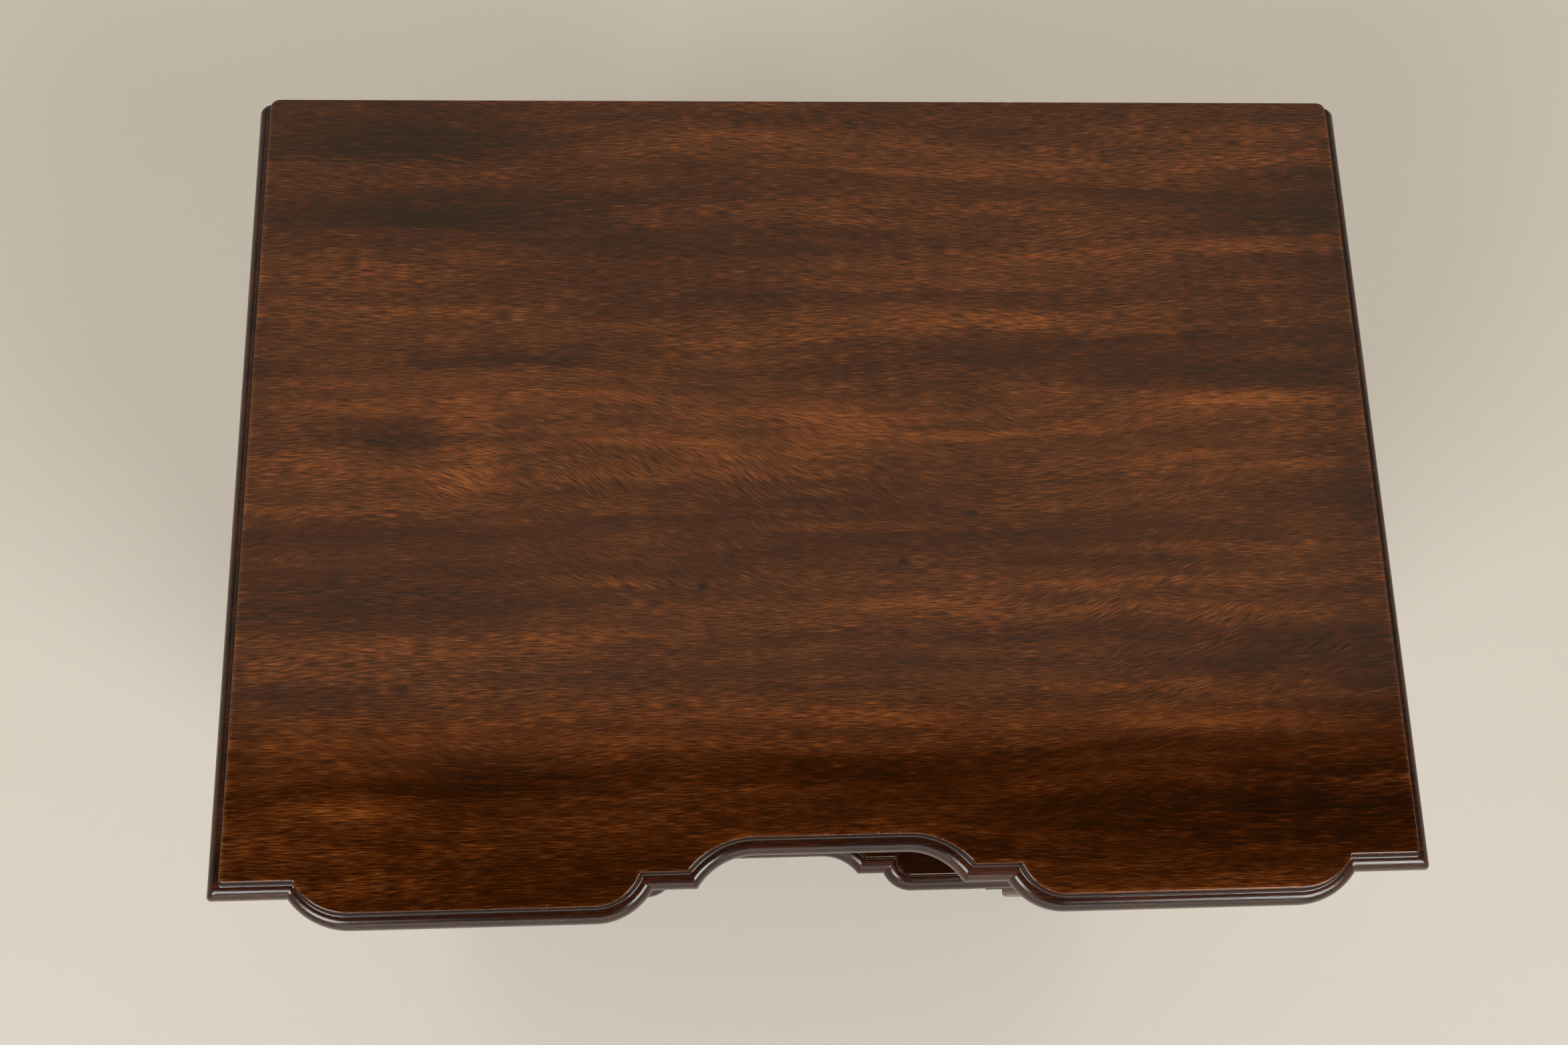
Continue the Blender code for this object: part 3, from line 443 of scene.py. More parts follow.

# %% [markdown]
# ## The mahogany finishes
# One wood has several looks on one stand. The top shows the marks and swirls that the photograph shows, put
# in place and given in millimetres. The mouldings are shaded darker and brushed, so they are less glossy.
# The case has more light and dark in it, and the shelf's darker tones are a painted shade for its shade.

# %% Mahogany finishes
BRUSHED = ((12.0, 0.9, 0.9), 0.45)
SHADED_ROUGHNESS = (0.17, 0.24)
TOP_TONES = (
    (0.0, "#190900"),
    (0.25, "#280F00"),
    (0.4, "#3A1601"),
    (0.54, "#482207"),
    (0.72, "#693612"),
    (1.0, "#9A5623"),
)
CASE_TONES = (
    (0.0, "#160702"),
    (0.36, "#2E1203"),
    (0.5, "#472009"),
    (0.64, "#673510"),
    (0.8, "#884D1F"),
    (1.0, "#A4662F"),
)
# The shelf's tones are kept dark as a painted shade, for the shade it lies in.
SHELF_PAINTED_SHADE_TONES = ((0.0, "#0E0501"), (0.4, "#1C0A02"), (0.7, "#2E1404"), (1.0, "#4A230A"))
SHADED_TONES = ((0.0, "#100501"), (0.4, "#1E0B03"), (0.7, "#371707"), (1.0, "#55270E"))
TOP_BACK = cad_box[1].y * MM
# Along X, depth from the back edge, half length and half width in mm, and the lean in degrees
TOP_SWIRLS = (
    (-85, 226, 130, 52, -38),
    (165, 275, 75, 95, 20),
    (-262, 246, 50, 28, 26),
    (95, 172, 26, 40, -20),
    (245, 318, 60, 34, 12),
    (45, 388, 90, 24, 8),
    (-190, 358, 70, 18, -12),
    (60, 325, 70, 30, -12),
)
# Along X, depth from the back edge, half length, half width in mm, and how much lighter or darker
TOP_MARKS = (
    (-235, 28, 75, 16, -0.26),
    (-180, 67, 105, 13, -0.26),
    (-165, 153, 60, 7, -0.24),
    (-240, 283, 80, 12, -0.22),
    (-215, 196, 32, 10, -0.18),
    (262, 73, 60, 10, -0.26),
    (240, 163, 75, 7, -0.20),
    (255, 312, 75, 15, -0.26),
    (240, 390, 80, 20, -0.26),
    (20, 200, 150, 65, 0.035),
    (-165, 370, 50, 10, -0.28),
    (-25, 194, 24, 11, -0.16),
    (0, 410, 330, 44, -0.19),
    (292, 215, 26, 260, -0.13),
    (-295, 215, 14, 260, -0.06),
    (-178, 92, 26, 6, 0.16),
    (-185, 203, 18, 28, 0.14),
    (5, 190, 42, 14, 0.18),
    (115, 170, 30, 6, 0.16),
    (225, 176, 60, 5, 0.16),
    (-232, 384, 26, 7, 0.22),
    (41, 263, 2.2, 1.4, -0.5),
    (-62, 275, 2.0, 2.0, -0.5),
    (79, 238, 2.0, 1.2, -0.5),
)
top_marks = [(x, TOP_BACK - depth, *rest) for x, depth, *rest in TOP_MARKS]
top_swirls = [(x, TOP_BACK - depth, *rest) for x, depth, *rest in TOP_SWIRLS]
top_finish = mahogany(
    "lacquered mahogany top", GRAIN_ALONG_X, (0.0, 0.0, 0.0), TOP_TONES, top_marks, top_swirls
)
shaded_look = {"tones": SHADED_TONES, "roughness": SHADED_ROUGHNESS, "peel": BRUSHED}
shaded_finish = mahogany("shaded mahogany moulding", GRAIN_ALONG_X, (300.0, 40.0, 0.0), **shaded_look)
shaded_side_finish = mahogany(
    "shaded mahogany side moulding", GRAIN_ALONG_Y, (900.0, 70.0, 0.0), **shaded_look
)
front_finish = mahogany("lacquered mahogany front", GRAIN_ALONG_X_UPRIGHT, (500.0, 0.0, 90.0), CASE_TONES)
side_finish = mahogany("lacquered mahogany side", GRAIN_ALONG_Z, (100.0, 300.0, 0.0), CASE_TONES)
# The shelf's mahogany carries a painted shade: its tones are darker than the case's.
shelf_painted_shade_finish = mahogany("lacquered mahogany shelf in painted shade", GRAIN_ALONG_X, (700.0, 200.0, 50.0), SHELF_PAINTED_SHADE_TONES)
return_finish = mahogany("lacquered mahogany return", GRAIN_ALONG_Y, (200.0, 500.0, 50.0), CASE_TONES)
print("mahogany finishes:", [m.name for m in bpy.data.materials if "mahogany" in m.name])

# %% [markdown]
# ## Bare woods
# Inside, makers save the good wood. The drawer box, runners and glue blocks are poplar, pale with a
# greenish cast and soft grey streaks, sanded and left bare. The back, the dust panel and the drawer bottom
# are plywood, whose edge shows its layers as stripes. Neither has lacquer, so both are rough.

# %% Poplar and plywood
POPLAR_TONES = ((0.2, "#7A6A4C"), (0.45, "#A58D66"), (0.65, "#BDA67C"), (0.85, "#CDB88F"))
STAINED_TONES = ((0.2, "#2B170B"), (0.45, "#432613"), (0.65, "#56331B"), (0.85, "#6B4526"))
PLY_TONES = ((0.2, "#6E4C2E"), (0.5, "#946A42"), (0.8, "#B08553"))
# Size along, across and through the grain in mm, detail and weight in the tone
POPLAR_FIGURE = (
    ((300.0, 24.0, 40.0), 2.0, 0.9),
    ((90.0, 2.2, 10.0), 2.0, 0.5),
    ((16.0, 0.6, 2.0), 1.0, 0.3),
)
PLY_FIGURE = (
    ((420.0, 22.0, 900.0), 3.0, 0.7),
    ((120.0, 2.4, 900.0), 3.0, 0.7),
    ((12.0, 0.7, 900.0), 2.0, 0.6),
)
PLY_THICKNESS = 1.2
PLY_EDGE_COLOUR = "#5A3C24"
PLY_EDGE = {"From Min": PLY_THICKNESS * 0.9, "From Max": PLY_THICKNESS * 1.1, "To Max": 0.6}
BARE_ROUGHNESS = 0.72
BARE_GRAIN = {"Strength": 0.4, "Distance": 0.0002}


def bare_wood(name, turn, seed, tones, figure, plies=False):
    material, tree, shader = new_material(name)
    plain, flow = grain_lines(tree, turn, seed)
    tone = 0.5 - sum(weight for *_, weight in figure) / 2
    for size, detail, weight in figure:
        tone = {0: stretched_noise(tree, flow, size, detail), 1: weight, 2: tone}
        tone = add(tree, "ShaderNodeMath", tone, operation="MULTIPLY_ADD").outputs[0]
    colour = add(tree, "ShaderNodeValToRGB", {"Fac": tone}, stops=tones).outputs["Color"]
    if plies:
        depth = add(tree, "ShaderNodeSeparateXYZ", {0: plain}).outputs["Z"]
        layer = {0: depth, 1: 2 * PLY_THICKNESS}
        layer = add(tree, "ShaderNodeMath", layer, operation="PINGPONG").outputs[0]
        layer = add(tree, "ShaderNodeMapRange", {"Value": layer, **PLY_EDGE}).outputs[0]
        dark = {0: layer, 6: colour, 7: linear(PLY_EDGE_COLOUR)}
        colour = add(tree, "ShaderNodeMix", dark, data_type="RGBA").outputs[2]
    bump = add(tree, "ShaderNodeBump", {"Height": tone, **BARE_GRAIN})
    tree.links.new(colour, shader.inputs["Base Color"])
    tree.links.new(bump.outputs[0], shader.inputs["Normal"])
    shader.inputs["Roughness"].default_value = BARE_ROUGHNESS
    return material


poplar = (POPLAR_TONES, POPLAR_FIGURE)
plywood = (PLY_TONES, PLY_FIGURE, True)
poplar_x = bare_wood("bare poplar rail", GRAIN_ALONG_X_UPRIGHT, (40.0, 80.0, 0.0), *poplar)
poplar_y = bare_wood("bare poplar side", GRAIN_ALONG_Y, (400.0, 20.0, 90.0), *poplar)
poplar_z = bare_wood("bare poplar block", GRAIN_ALONG_Z, (90.0, 60.0, 30.0), *poplar)
stained = (STAINED_TONES, POPLAR_FIGURE)
stained_x = bare_wood("stained poplar bracket", GRAIN_ALONG_X_UPRIGHT, (640.0, 10.0, 0.0), *stained)
ply_upright = bare_wood("bare plywood back", GRAIN_ALONG_X_UPRIGHT, (0.0, 30.0, 0.0), *plywood)
ply_flat = bare_wood("bare plywood panel", GRAIN_ALONG_X, (250.0, 90.0, 0.0), *plywood)
print("bare woods:", [m.name for m in bpy.data.materials if "bare" in m.name])

# %% [markdown]
# ## Brass and steel
# The pulls are cast brass, filed, polished and then left to tarnish: brown in the hollows, bright where
# fingers rub. A metal keeps the default IOR, and its colour is its reflection. The screws are plain steel
# with a dull skin. Roughness changes over the surface, because handled metal is never evenly polished.

# %% Metals
STAIN_SIZE = (7.0, 7.0, 7.0)
STAIN_EDGE = {"From Min": 0.35, "From Max": 0.75}
RUBBED_CLEAN = 0.35
SCRATCH_SIZE = (6.0, 0.3, 6.0)
SCRATCHES = {"Strength": 0.15, "Distance": 0.00005}


def worn_metal(name, bright, dark, roughness):
    material, tree, shader = new_material(name)
    place = add(tree, "ShaderNodeTexCoord").outputs["Object"]
    in_mm = add(tree, "ShaderNodeMapping", {"Vector": place, "Scale": (MM, MM, MM)}).outputs[0]
    rubbed = add(tree, "ShaderNodeAttribute", attribute_name="rubbed").outputs["Fac"]
    stain = {0: rubbed, 1: -RUBBED_CLEAN, 2: stretched_noise(tree, in_mm, STAIN_SIZE, 4.0)}
    stain = add(tree, "ShaderNodeMath", stain, operation="MULTIPLY_ADD").outputs[0]
    share = add(tree, "ShaderNodeMapRange", {"Value": stain, **STAIN_EDGE}).outputs[0]
    colour = {0: share, 6: linear(bright), 7: linear(dark)}
    colour = add(tree, "ShaderNodeMix", colour, data_type="RGBA").outputs[2]
    dull = {"Value": share, "To Min": roughness[0], "To Max": roughness[1]}
    dull = add(tree, "ShaderNodeMapRange", dull).outputs[0]
    lines = stretched_noise(tree, in_mm, SCRATCH_SIZE, 2.0)
    bump = add(tree, "ShaderNodeBump", {"Height": lines, **SCRATCHES})
    tree.links.new(colour, shader.inputs["Base Color"])
    tree.links.new(dull, shader.inputs["Roughness"])
    tree.links.new(bump.outputs[0], shader.inputs["Normal"])
    shader.inputs["Metallic"].default_value = 1.0
    return material


brass_finish = worn_metal("tarnished brass", "#BE9654", "#553F22", (0.24, 0.5))
steel_finish = worn_metal("dull steel", "#A9A8A4", "#6A665F", (0.3, 0.55))
print("metals:", brass_finish.name, "and", steel_finish.name)

# %% [markdown]
# ## Making pieces
# A piece is a closed mesh at its place in the frame, so its object stays at the origin. Each point can
# carry a number named rubbed: one on a crest that cloths and hands wear, minus one in a hollow, and the
# finishes read it: mahogany gets a painted shade in a hollow, brass more tarnish. Lofts join rings of
# points. Plain boards are copies of the packed
# ones, with their loose triangles merged and their arrises eased by a small round.

# %% Mesh helpers
ARC_STEPS = 16
SHARP = math.radians(32)
FLAT = math.radians(0.4)
MERGE_DISTANCE = 1e-6
EASE_SEGMENTS = 2


def ellipse_arc(centre, radii, start, end, steps=ARC_STEPS):
    """Points of an ellipse from the start angle to the end angle, in degrees, both included."""
    angles = [math.radians(start + (end - start) * i / steps) for i in range(steps + 1)]
    return [(centre[0] + radii[0] * math.cos(a), centre[1] + radii[1] * math.sin(a)) for a in angles]


def loft(rings, rubbed):
    """A closed solid through rings of points. Rubbed has a number for each point of each ring."""
    mesh = bmesh.new()
    layer = mesh.verts.layers.float.new("rubbed")
    loops = []
    for ring, numbers in zip(rings, rubbed):
        loop = [mesh.verts.new(point) for point in ring]
        for vert, number in zip(loop, numbers):
            vert[layer] = number
        loops.append(loop)
    for low, high in zip(loops, loops[1:]):
        for i in range(len(low)):
            j = (i + 1) % len(low)
            mesh.faces.new((low[i], low[j], high[j], high[i]))
    mesh.faces.new(reversed(loops[0]))
    mesh.faces.new(loops[-1])
    if mesh.calc_volume(signed=True) < 0:
        bmesh.ops.reverse_faces(mesh, faces=mesh.faces)
    return mesh


def eased_copy(node, ease):
    """A copy of a packed board with its triangles merged and its sharp edges rounded."""
    mesh = bmesh.new()
    mesh.from_mesh(nodes[node].data)
    bmesh.ops.remove_doubles(mesh, verts=mesh.verts, dist=MERGE_DISTANCE)
    bmesh.ops.dissolve_limit(mesh, angle_limit=FLAT, verts=mesh.verts, edges=mesh.edges)
    layer = mesh.faces.layers.float.new("rubbed")
    if ease:
        sharp = [e for e in mesh.edges if len(e.link_faces) == 2 and e.calc_face_angle() > SHARP]
        made = bmesh.ops.bevel(
            mesh,
            geom=sharp,
            offset=ease,
            segments=EASE_SEGMENTS,
            profile=0.5,
            affect="EDGES",
            clamp_overlap=True,
        )
        for face in made["faces"]:
            face[layer] = 1.0
    return mesh


def piece(name, mesh, finishes, body, slot, *replaced):
    """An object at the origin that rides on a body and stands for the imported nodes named."""
    data = bpy.data.meshes.new(name)
    mesh.to_mesh(data)
    mesh.free()
    data.shade_smooth()
    data.set_sharp_from_angle(angle=SHARP)
    for finish in finishes:
        data.materials.append(finish)
    made = bpy.data.objects.new(name, data)
    scene.collection.objects.link(made)
    flat = made.modifiers.new("flat faces stay flat", "WEIGHTED_NORMAL")
    flat.keep_sharp = True
    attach(made, body)
    if replaced:
        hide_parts(*replaced)
    return made


print(f"edges sharper than {math.degrees(SHARP):.0f} degrees are eased")

# %% [markdown]
# ## The blocked front
# Two raised blocks with rounded ends stand either side of a hollow, and every moulding follows that line.
# One function draws it as points of x and depth, at any distance outside the case, so that a moulding
# stays parallel to its board. Flats are two points, and round ends are arcs. The outer ends are shallower
# on the top than on the base, so the function is told which end to draw.

# %% Blocked front line
TOP_WIDTH = 0.606
TOP_DEPTH = 0.440
TOP_OVERHANG = 0.020
RECESS_FLAT = 0.076
RECESS_RADIUS = 0.0536
RECESS_FALL = 0.0155
INNER_FLAT = 0.0278
BLOCK_RADIUS = 0.0124
BLOCK_RISE = 0.0155
CORNER_FLAT = 0.032
TOP_END_RADIUS = 0.0194
TOP_CORNER_FLAT = 0.0304
CASE_HALF = TOP_WIDTH / 2 - TOP_OVERHANG
FACE_BLOCK = TOP_DEPTH - TOP_OVERHANG
FACE_STEP = FACE_BLOCK - BLOCK_RISE
FACE_RECESS = FACE_STEP - RECESS_FALL
RECESS_END = RECESS_FLAT / 2
RECESS_EDGE = RECESS_END + math.sqrt(RECESS_FALL * (2 * RECESS_RADIUS - RECESS_FALL))
BLOCK_INNER = RECESS_EDGE + INNER_FLAT + BLOCK_RADIUS
BLOCK_OUTER = CASE_HALF - CORNER_FLAT - BLOCK_RADIUS
BLOCK_CENTRE = (BLOCK_INNER + BLOCK_OUTER) / 2
# Where the flat front of a block stops, and the radius of its round end
BLOCK_END = (BLOCK_OUTER, BLOCK_RADIUS)
TOP_BLOCK_END = (CASE_HALF - TOP_CORNER_FLAT - TOP_END_RADIUS, TOP_END_RADIUS)
BACK_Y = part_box("top_board")[1].y


def at(x, depth, z):
    return Vector((x, BACK_Y - depth, z))


def block_outer_arc(start, bend, out):
    """The rounded outer end of the right-hand block, from its flat front to the step at the corner."""
    radius = bend + out
    turn = math.degrees(math.acos(max(0.0, 1 - BLOCK_RISE / radius)))
    arc = ellipse_arc((start, FACE_BLOCK - bend), (radius, radius), 90, 90 - turn)
    return [*arc[:-1], (arc[-1][0], FACE_STEP + out)]


def front_line(out, end=BLOCK_END):
    """The blocked front from left to right, as (x, depth), between the steps at the two corners."""
    radius = RECESS_RADIUS - out
    turn = math.degrees(math.acos(1 - RECESS_FALL / radius))
    centre = (RECESS_END, FACE_RECESS + RECESS_RADIUS)
    hollow = ellipse_arc(centre, (radius, radius), -90, -90 + turn)
    mirrored = reversed(block_outer_arc(*BLOCK_END, out))
    inner = [(2 * BLOCK_CENTRE - x, depth) for x, depth in mirrored]
    right = hollow + inner + block_outer_arc(*end, out)
    return [(-x, depth) for x, depth in reversed(right)] + right


print(f"blocks {BLOCK_OUTER - BLOCK_INNER:.3f} m wide between their rounds")

# %% [markdown]
# ## The top
# The real top is one board with a moulded edge on three sides: an eased arris, a narrow hollow, a thin
# fillet and a quarter round below it. Rings of the outline, one for each point of that profile, make the
# edge. A ring just inside the arris keeps the wide face flat in the shading. The face shows the figured
# wood, and the moulding has the darker shading lacquer that makers brush on edges.

# %% Top board
TOP_THICKNESS = 0.021
EDGE_PROJECTION = 0.0084
EDGE_EASE = 0.0010
COVE_WIDTH = 0.0021
COVE_HEIGHT = 0.0038
FILLET_WIDTH = 0.0006
OVOLO_HEIGHT = 0.0072
EDGE_BAND = 0.0012
UNDERCUT = 0.0030
FRONT_CORNER_EASE = 0.0020
BACK_CORNER_EASE = 0.0040
FACE_MARGIN = 0.0015
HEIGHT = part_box("top_board")[1].z


def top_profile():
    """The moulded edge from the face down to the underside, as (out, z, rubbed)."""
    arris = TOP_OVERHANG - EDGE_PROJECTION
    cove_top = HEIGHT - EDGE_EASE
    cove_foot = cove_top - COVE_HEIGHT
    widest = cove_foot - OVOLO_HEIGHT
    fillet = arris + COVE_WIDTH + FILLET_WIDTH
    ease = ellipse_arc((arris - EDGE_EASE, cove_top), (EDGE_EASE, EDGE_EASE), 90, 0, 5)
    cove = ellipse_arc((arris + COVE_WIDTH, cove_top), (COVE_WIDTH, COVE_HEIGHT), 180, 270, 8)
    ovolo = ellipse_arc((fillet, widest), (TOP_OVERHANG - fillet, OVOLO_HEIGHT), 90, 0, 12)
    under = ellipse_arc((TOP_OVERHANG - UNDERCUT, widest - EDGE_BAND), (UNDERCUT, UNDERCUT), 0, -90, 6)
    points = [(arris - EDGE_EASE - FACE_MARGIN, HEIGHT, 0.0)]
    points += [(out, z, 1.0) for out, z in ease]
    # The cove is a hollow, and minus one gives it a painted shade.
    points += [(out, z, -1.0) for out, z in cove[1:-1]]
    points += [(*cove[-1], 0.4), (*ovolo[0], 0.9)]
    points += [(out, z, 0.25) for out, z in ovolo[1:]]
    points += [(out, z, 0.0) for out, z in under]
    return [*points, (TOP_OVERHANG - UNDERCUT, HEIGHT - TOP_THICKNESS, 0.0)]


def top_outline(out):
    half = CASE_HALF + out
    front = FACE_STEP + out
    ease = FRONT_CORNER_EASE
    back = BACK_CORNER_EASE
    right = [
        *ellipse_arc((half - ease, front - ease), (ease, ease), 90, 0, 6),
        *ellipse_arc((half - back, back), (back, back), 0, -90, 8),
    ]
    return [*((-x, depth) for x, depth in reversed(right)), *front_line(out, TOP_BLOCK_END), *right]


def make_top():
    profile = top_profile()
    rings = [[at(x, depth, z) for x, depth in top_outline(out)] for out, z, rub in profile]
    rubbed = [[rub] * len(rings[0]) for out, z, rub in profile]
    mesh = loft(rings, rubbed)
    for face in mesh.faces:
        on_top = min(vert.co.z for vert in face.verts) > HEIGHT - EDGE_EASE / 2
        face.material_index = 0 if on_top else 1
    return piece("moulded_top", mesh, (top_finish, shaded_finish), "carcase", "mahogany", "top_board")


moulded_top = make_top()
print("top:", len(moulded_top.data.polygons), "faces")

# %% [markdown]
# ## The base moulding
# The base repeats the blocked line near the floor: a flat fillet against the case, a narrow quirk, a large
# quarter round and a hollow under it, in three lengths that meet in mitres at the front corners. Here each
# ring is the whole section, and the rings follow the front line.

# %% Base moulding
BASE_HEIGHT = 0.028
BASE_OVERHANG = 0.014
BASE_FILLET_WIDTH = 0.0023
BASE_FILLET_DROP = 0.0022
BASE_QUIRK = 0.0008
BASE_ROUND_HEIGHT = 0.0125
BASE_COVE_WIDTH = 0.0050
BASE_COVE_HEIGHT = 0.0080
FILLET_EASE = 0.0006
JOINT_GAP = 0.0003
CASE_SETBACK = 0.008
SHELF_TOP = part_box("shelf_board")[1].z


def base_profile():
    """The section of the base moulding from the foot of its back face, as (out, z, rubbed)."""
    low = SHELF_TOP - BASE_HEIGHT
    fillet_foot = SHELF_TOP - BASE_FILLET_DROP
    round_start = BASE_FILLET_WIDTH + BASE_QUIRK
    widest = fillet_foot - BASE_ROUND_HEIGHT
    cove_foot = widest - BASE_COVE_HEIGHT
    corner = (BASE_FILLET_WIDTH - FILLET_EASE, SHELF_TOP - FILLET_EASE)
    ease = ellipse_arc(corner, (FILLET_EASE, FILLET_EASE), 90, 0, 4)
    ovolo = ellipse_arc((round_start, widest), (BASE_OVERHANG - round_start, BASE_ROUND_HEIGHT), 90, 0, 14)
    cove = ellipse_arc((BASE_OVERHANG, cove_foot), (BASE_COVE_WIDTH, BASE_COVE_HEIGHT), 90, 180, 8)
    return [
        (JOINT_GAP, low, 0.0),
        (JOINT_GAP, SHELF_TOP, 0.0),
        *((out, z, 0.9) for out, z in ease),
        # The quirk and the cove under the round are hollows, and their negative numbers give them a painted
        # shade.
        (BASE_FILLET_WIDTH, fillet_foot - BASE_QUIRK, -1.0),
        (round_start, fillet_foot - BASE_QUIRK, -1.0),
        *((out, z, 0.25) for out, z in ovolo),
        *((out, z, -0.6) for out, z in cove[1:]),
        (BASE_OVERHANG - BASE_COVE_WIDTH, low, 0.0),
    ]


def make_base():
    profile = base_profile()
    rub = [number for out, z, number in profile]
    lines = []
    for out, z, number in profile:
        corner = (CASE_HALF + out, FACE_STEP + out)
        line = [(-corner[0], corner[1]), *front_line(out), corner]
        lines.append([at(x, depth, z) for x, depth in line])
    rings = list(zip(*lines))
    front = loft(rings, [rub] * len(rings))
    piece("base_front", front, (shaded_finish,), "carcase", "mahogany", "base_moulding_front")
    for side, sign in (("left", -1), ("right", 1)):
        ends = []
        for mitre, depth in ((0.0, CASE_SETBACK), (1.0, FACE_STEP - 2 * JOINT_GAP)):
            places = [(CASE_HALF + out, depth + mitre * out, z) for out, z, number in profile]
            ends.append([at(sign * x, back, z) for x, back, z in places])
        length = loft(ends, [rub, rub])
        node = "base_moulding_" + side
        piece("base_" + side, length, (shaded_side_finish,), "carcase", "mahogany", node)


make_base()
made_lengths = [o.name for o in scene.objects if o.name.startswith("base_")]
print("base moulding:", [name for name in made_lengths if name not in nodes])

# %% [markdown]
# ## Boards with eased edges
# No board on a real stand has a knife edge: a maker takes the arris off with a block of sandpaper. These
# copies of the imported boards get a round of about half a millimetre, where lacquer wears first. The grain
# runs up the sides, along the front, and along each half of a foot.

# %% Case boards, feet and drawer front
EASE = 0.0007
FINE_EASE = 0.0004

for side in ("left", "right"):
    node = side + "_side_panel"
    piece("case_" + node, eased_copy(node, EASE), (side_finish,), "carcase", "mahogany", node)
    for end, part, finish in (
        ("front", "face", front_finish),
        ("front", "return", return_finish),
        ("rear", "side", return_finish),
    ):
        node = f"{end}_{side}_foot_{part}"
        piece("shaped_" + node, eased_copy(node, FINE_EASE), (finish,), "carcase", "mahogany", node)
    node = f"drawer_bead_{side}"
    piece("eased_" + node, eased_copy(node, 0.0), (side_finish,), "drawer", "mahogany", node)
for node, finish, body in (
    ("shelf_board", shelf_painted_shade_finish, "carcase"),
    ("top_rail", front_finish, "carcase"),
    ("drawer_rail", front_finish, "carcase"),
    ("drawer_front", front_finish, "drawer"),
):
    piece("eased_" + node, eased_copy(node, FINE_EASE), (finish,), body, "mahogany", node)
for node in ("drawer_bead_top", "drawer_bead_bottom"):
    piece("eased_" + node, eased_copy(node, 0.0), (front_finish,), "drawer", "mahogany", node)

# %% [markdown]
# ## Bare boards
# The drawer box and the back are seen when the drawer is open or the stand is turned round, so they are
# copied with their triangles merged, and the drawer box is eased. The back is stained on the side that
# faces the compartment. What stays hidden keeps its packed mesh and only gets its wood.

# %% Drawer box, back and hidden pieces
for node, finish, slot in (
    ("drawer_left_side", poplar_y, "poplar"),
    ("drawer_right_side", poplar_y, "poplar"),
    ("drawer_back", poplar_x, "poplar"),
    ("drawer_bottom", ply_flat, "plywood"),
):
    piece("bare_" + node, eased_copy(node, EASE), (finish,), "drawer", slot, node)
back = eased_copy("back_panel", 0.0)
for face in back.faces:
    face.material_index = 1 if face.normal.y < -0.5 else 0
piece("stained_back_panel", back, (ply_upright, front_finish), "carcase", "plywood", "back_panel")

HIDDEN = (
    ("runner", poplar_y),
    ("kicker", poplar_y),
    ("stop", poplar_x),
    ("rear_top_rail", poplar_x),
    ("foot_block", poplar_z),
    ("foot_back", stained_x),
    ("dust_panel", ply_flat),
    ("nut", brass_finish),
)
for name, node in nodes.items():
    for part, finish in HIDDEN:
        if part in name:
            node.data.materials.clear()
            node.data.materials.append(finish)
print("packed meshes kept:", sorted(n for n, o in nodes.items() if not o.hide_render))

# %% [markdown]
# ## Pull plates
# Each pull is a bail handle on a thin cast plate with a scalloped outline. The outline is a circle whose
# radius is a sum of a few waves, which gives shoulders and small points without drawing each one. Its
# edge is filed to a chamfer, with a line engraved inside it.

# %% Pull plates
PLATE_RADIUS = 0.033
PLATE_SAG = 0.07
PLATE_WAVES = ((2, 0.34), (4, 0.07), (6, -0.05), (10, -0.05))
PLATE_POINTS = 144
CHAMFER = 0.0010
ENGRAVED_IN = 0.0032
ENGRAVED_WIDTH = 0.0005
PULL_HEIGHT = 0.6042
PLATE_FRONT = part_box("left_pull_plate")[0].y
PLATE_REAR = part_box("left_pull_plate")[1].y


def plate_ring(centre, inset, y):
    ring = []
    for i in range(PLATE_POINTS):
        a = 2 * math.pi * i / PLATE_POINTS
        swell = 1 - PLATE_SAG * math.sin(a) + sum(size * math.cos(n * a) for n, size in PLATE_WAVES)
        radius = PLATE_RADIUS * swell - inset
        ring.append(Vector((centre + radius * math.cos(a), y, PULL_HEIGHT + radius * math.sin(a))))
    return ring


def make_plate(side, centre):
    steps = (
        (0.0, PLATE_REAR, 0.0),
        (0.0, PLATE_FRONT + CHAMFER, 0.3),
        (CHAMFER, PLATE_FRONT, 1.0),
        (ENGRAVED_IN, PLATE_FRONT, 0.3),
        (ENGRAVED_IN + ENGRAVED_WIDTH, PLATE_FRONT + ENGRAVED_WIDTH, -1.0),
        (ENGRAVED_IN + 2 * ENGRAVED_WIDTH, PLATE_FRONT, 0.3),
    )
    rings = [plate_ring(centre, inset, y) for inset, y, rub in steps]
    mesh = loft(rings, [[rub] * PLATE_POINTS for inset, y, rub in steps])
    name = side + "_pull_plate"
    return piece("engraved_" + name, mesh, (brass_finish,), "drawer", "brass", name)


outline = [point.x * MM for point in plate_ring(0.0, 0.0, PLATE_FRONT)]
print(f"plate outline {max(outline) - min(outline):.1f} mm wide, with {PLATE_POINTS} points")

# %% [markdown]
# ## Posts
# Two turned posts hold each plate and carry its bail. A post is one profile spun round its axis: a
# threaded shank, a rounded collar on the plate, a narrow neck and a round head. Its head is drilled across
# for the pin of the bail, which a boolean does best, because the hole meets a curved face.

# %% Posts
PULL_SPACING = 0.064
PIVOT_Y = -0.2121
POST_SIDES = 40
POST_RADII = {"shank": 0.0024, "collar": 0.0058, "neck": 0.0030, "head": 0.0050}
POST_COLLAR_HEIGHT = 0.0022
COLLAR_ROUND = 0.0007
NECK_FLARE = 0.0004
NECK_TAPER = 0.0008
HEAD_START = -52
HEAD_END = 86
THREADS = 10
THREAD_PITCH = 0.0008
THREAD_ROOT = 0.84
EYE_RADIUS = 0.0020
DRILL_REACH = 1.4


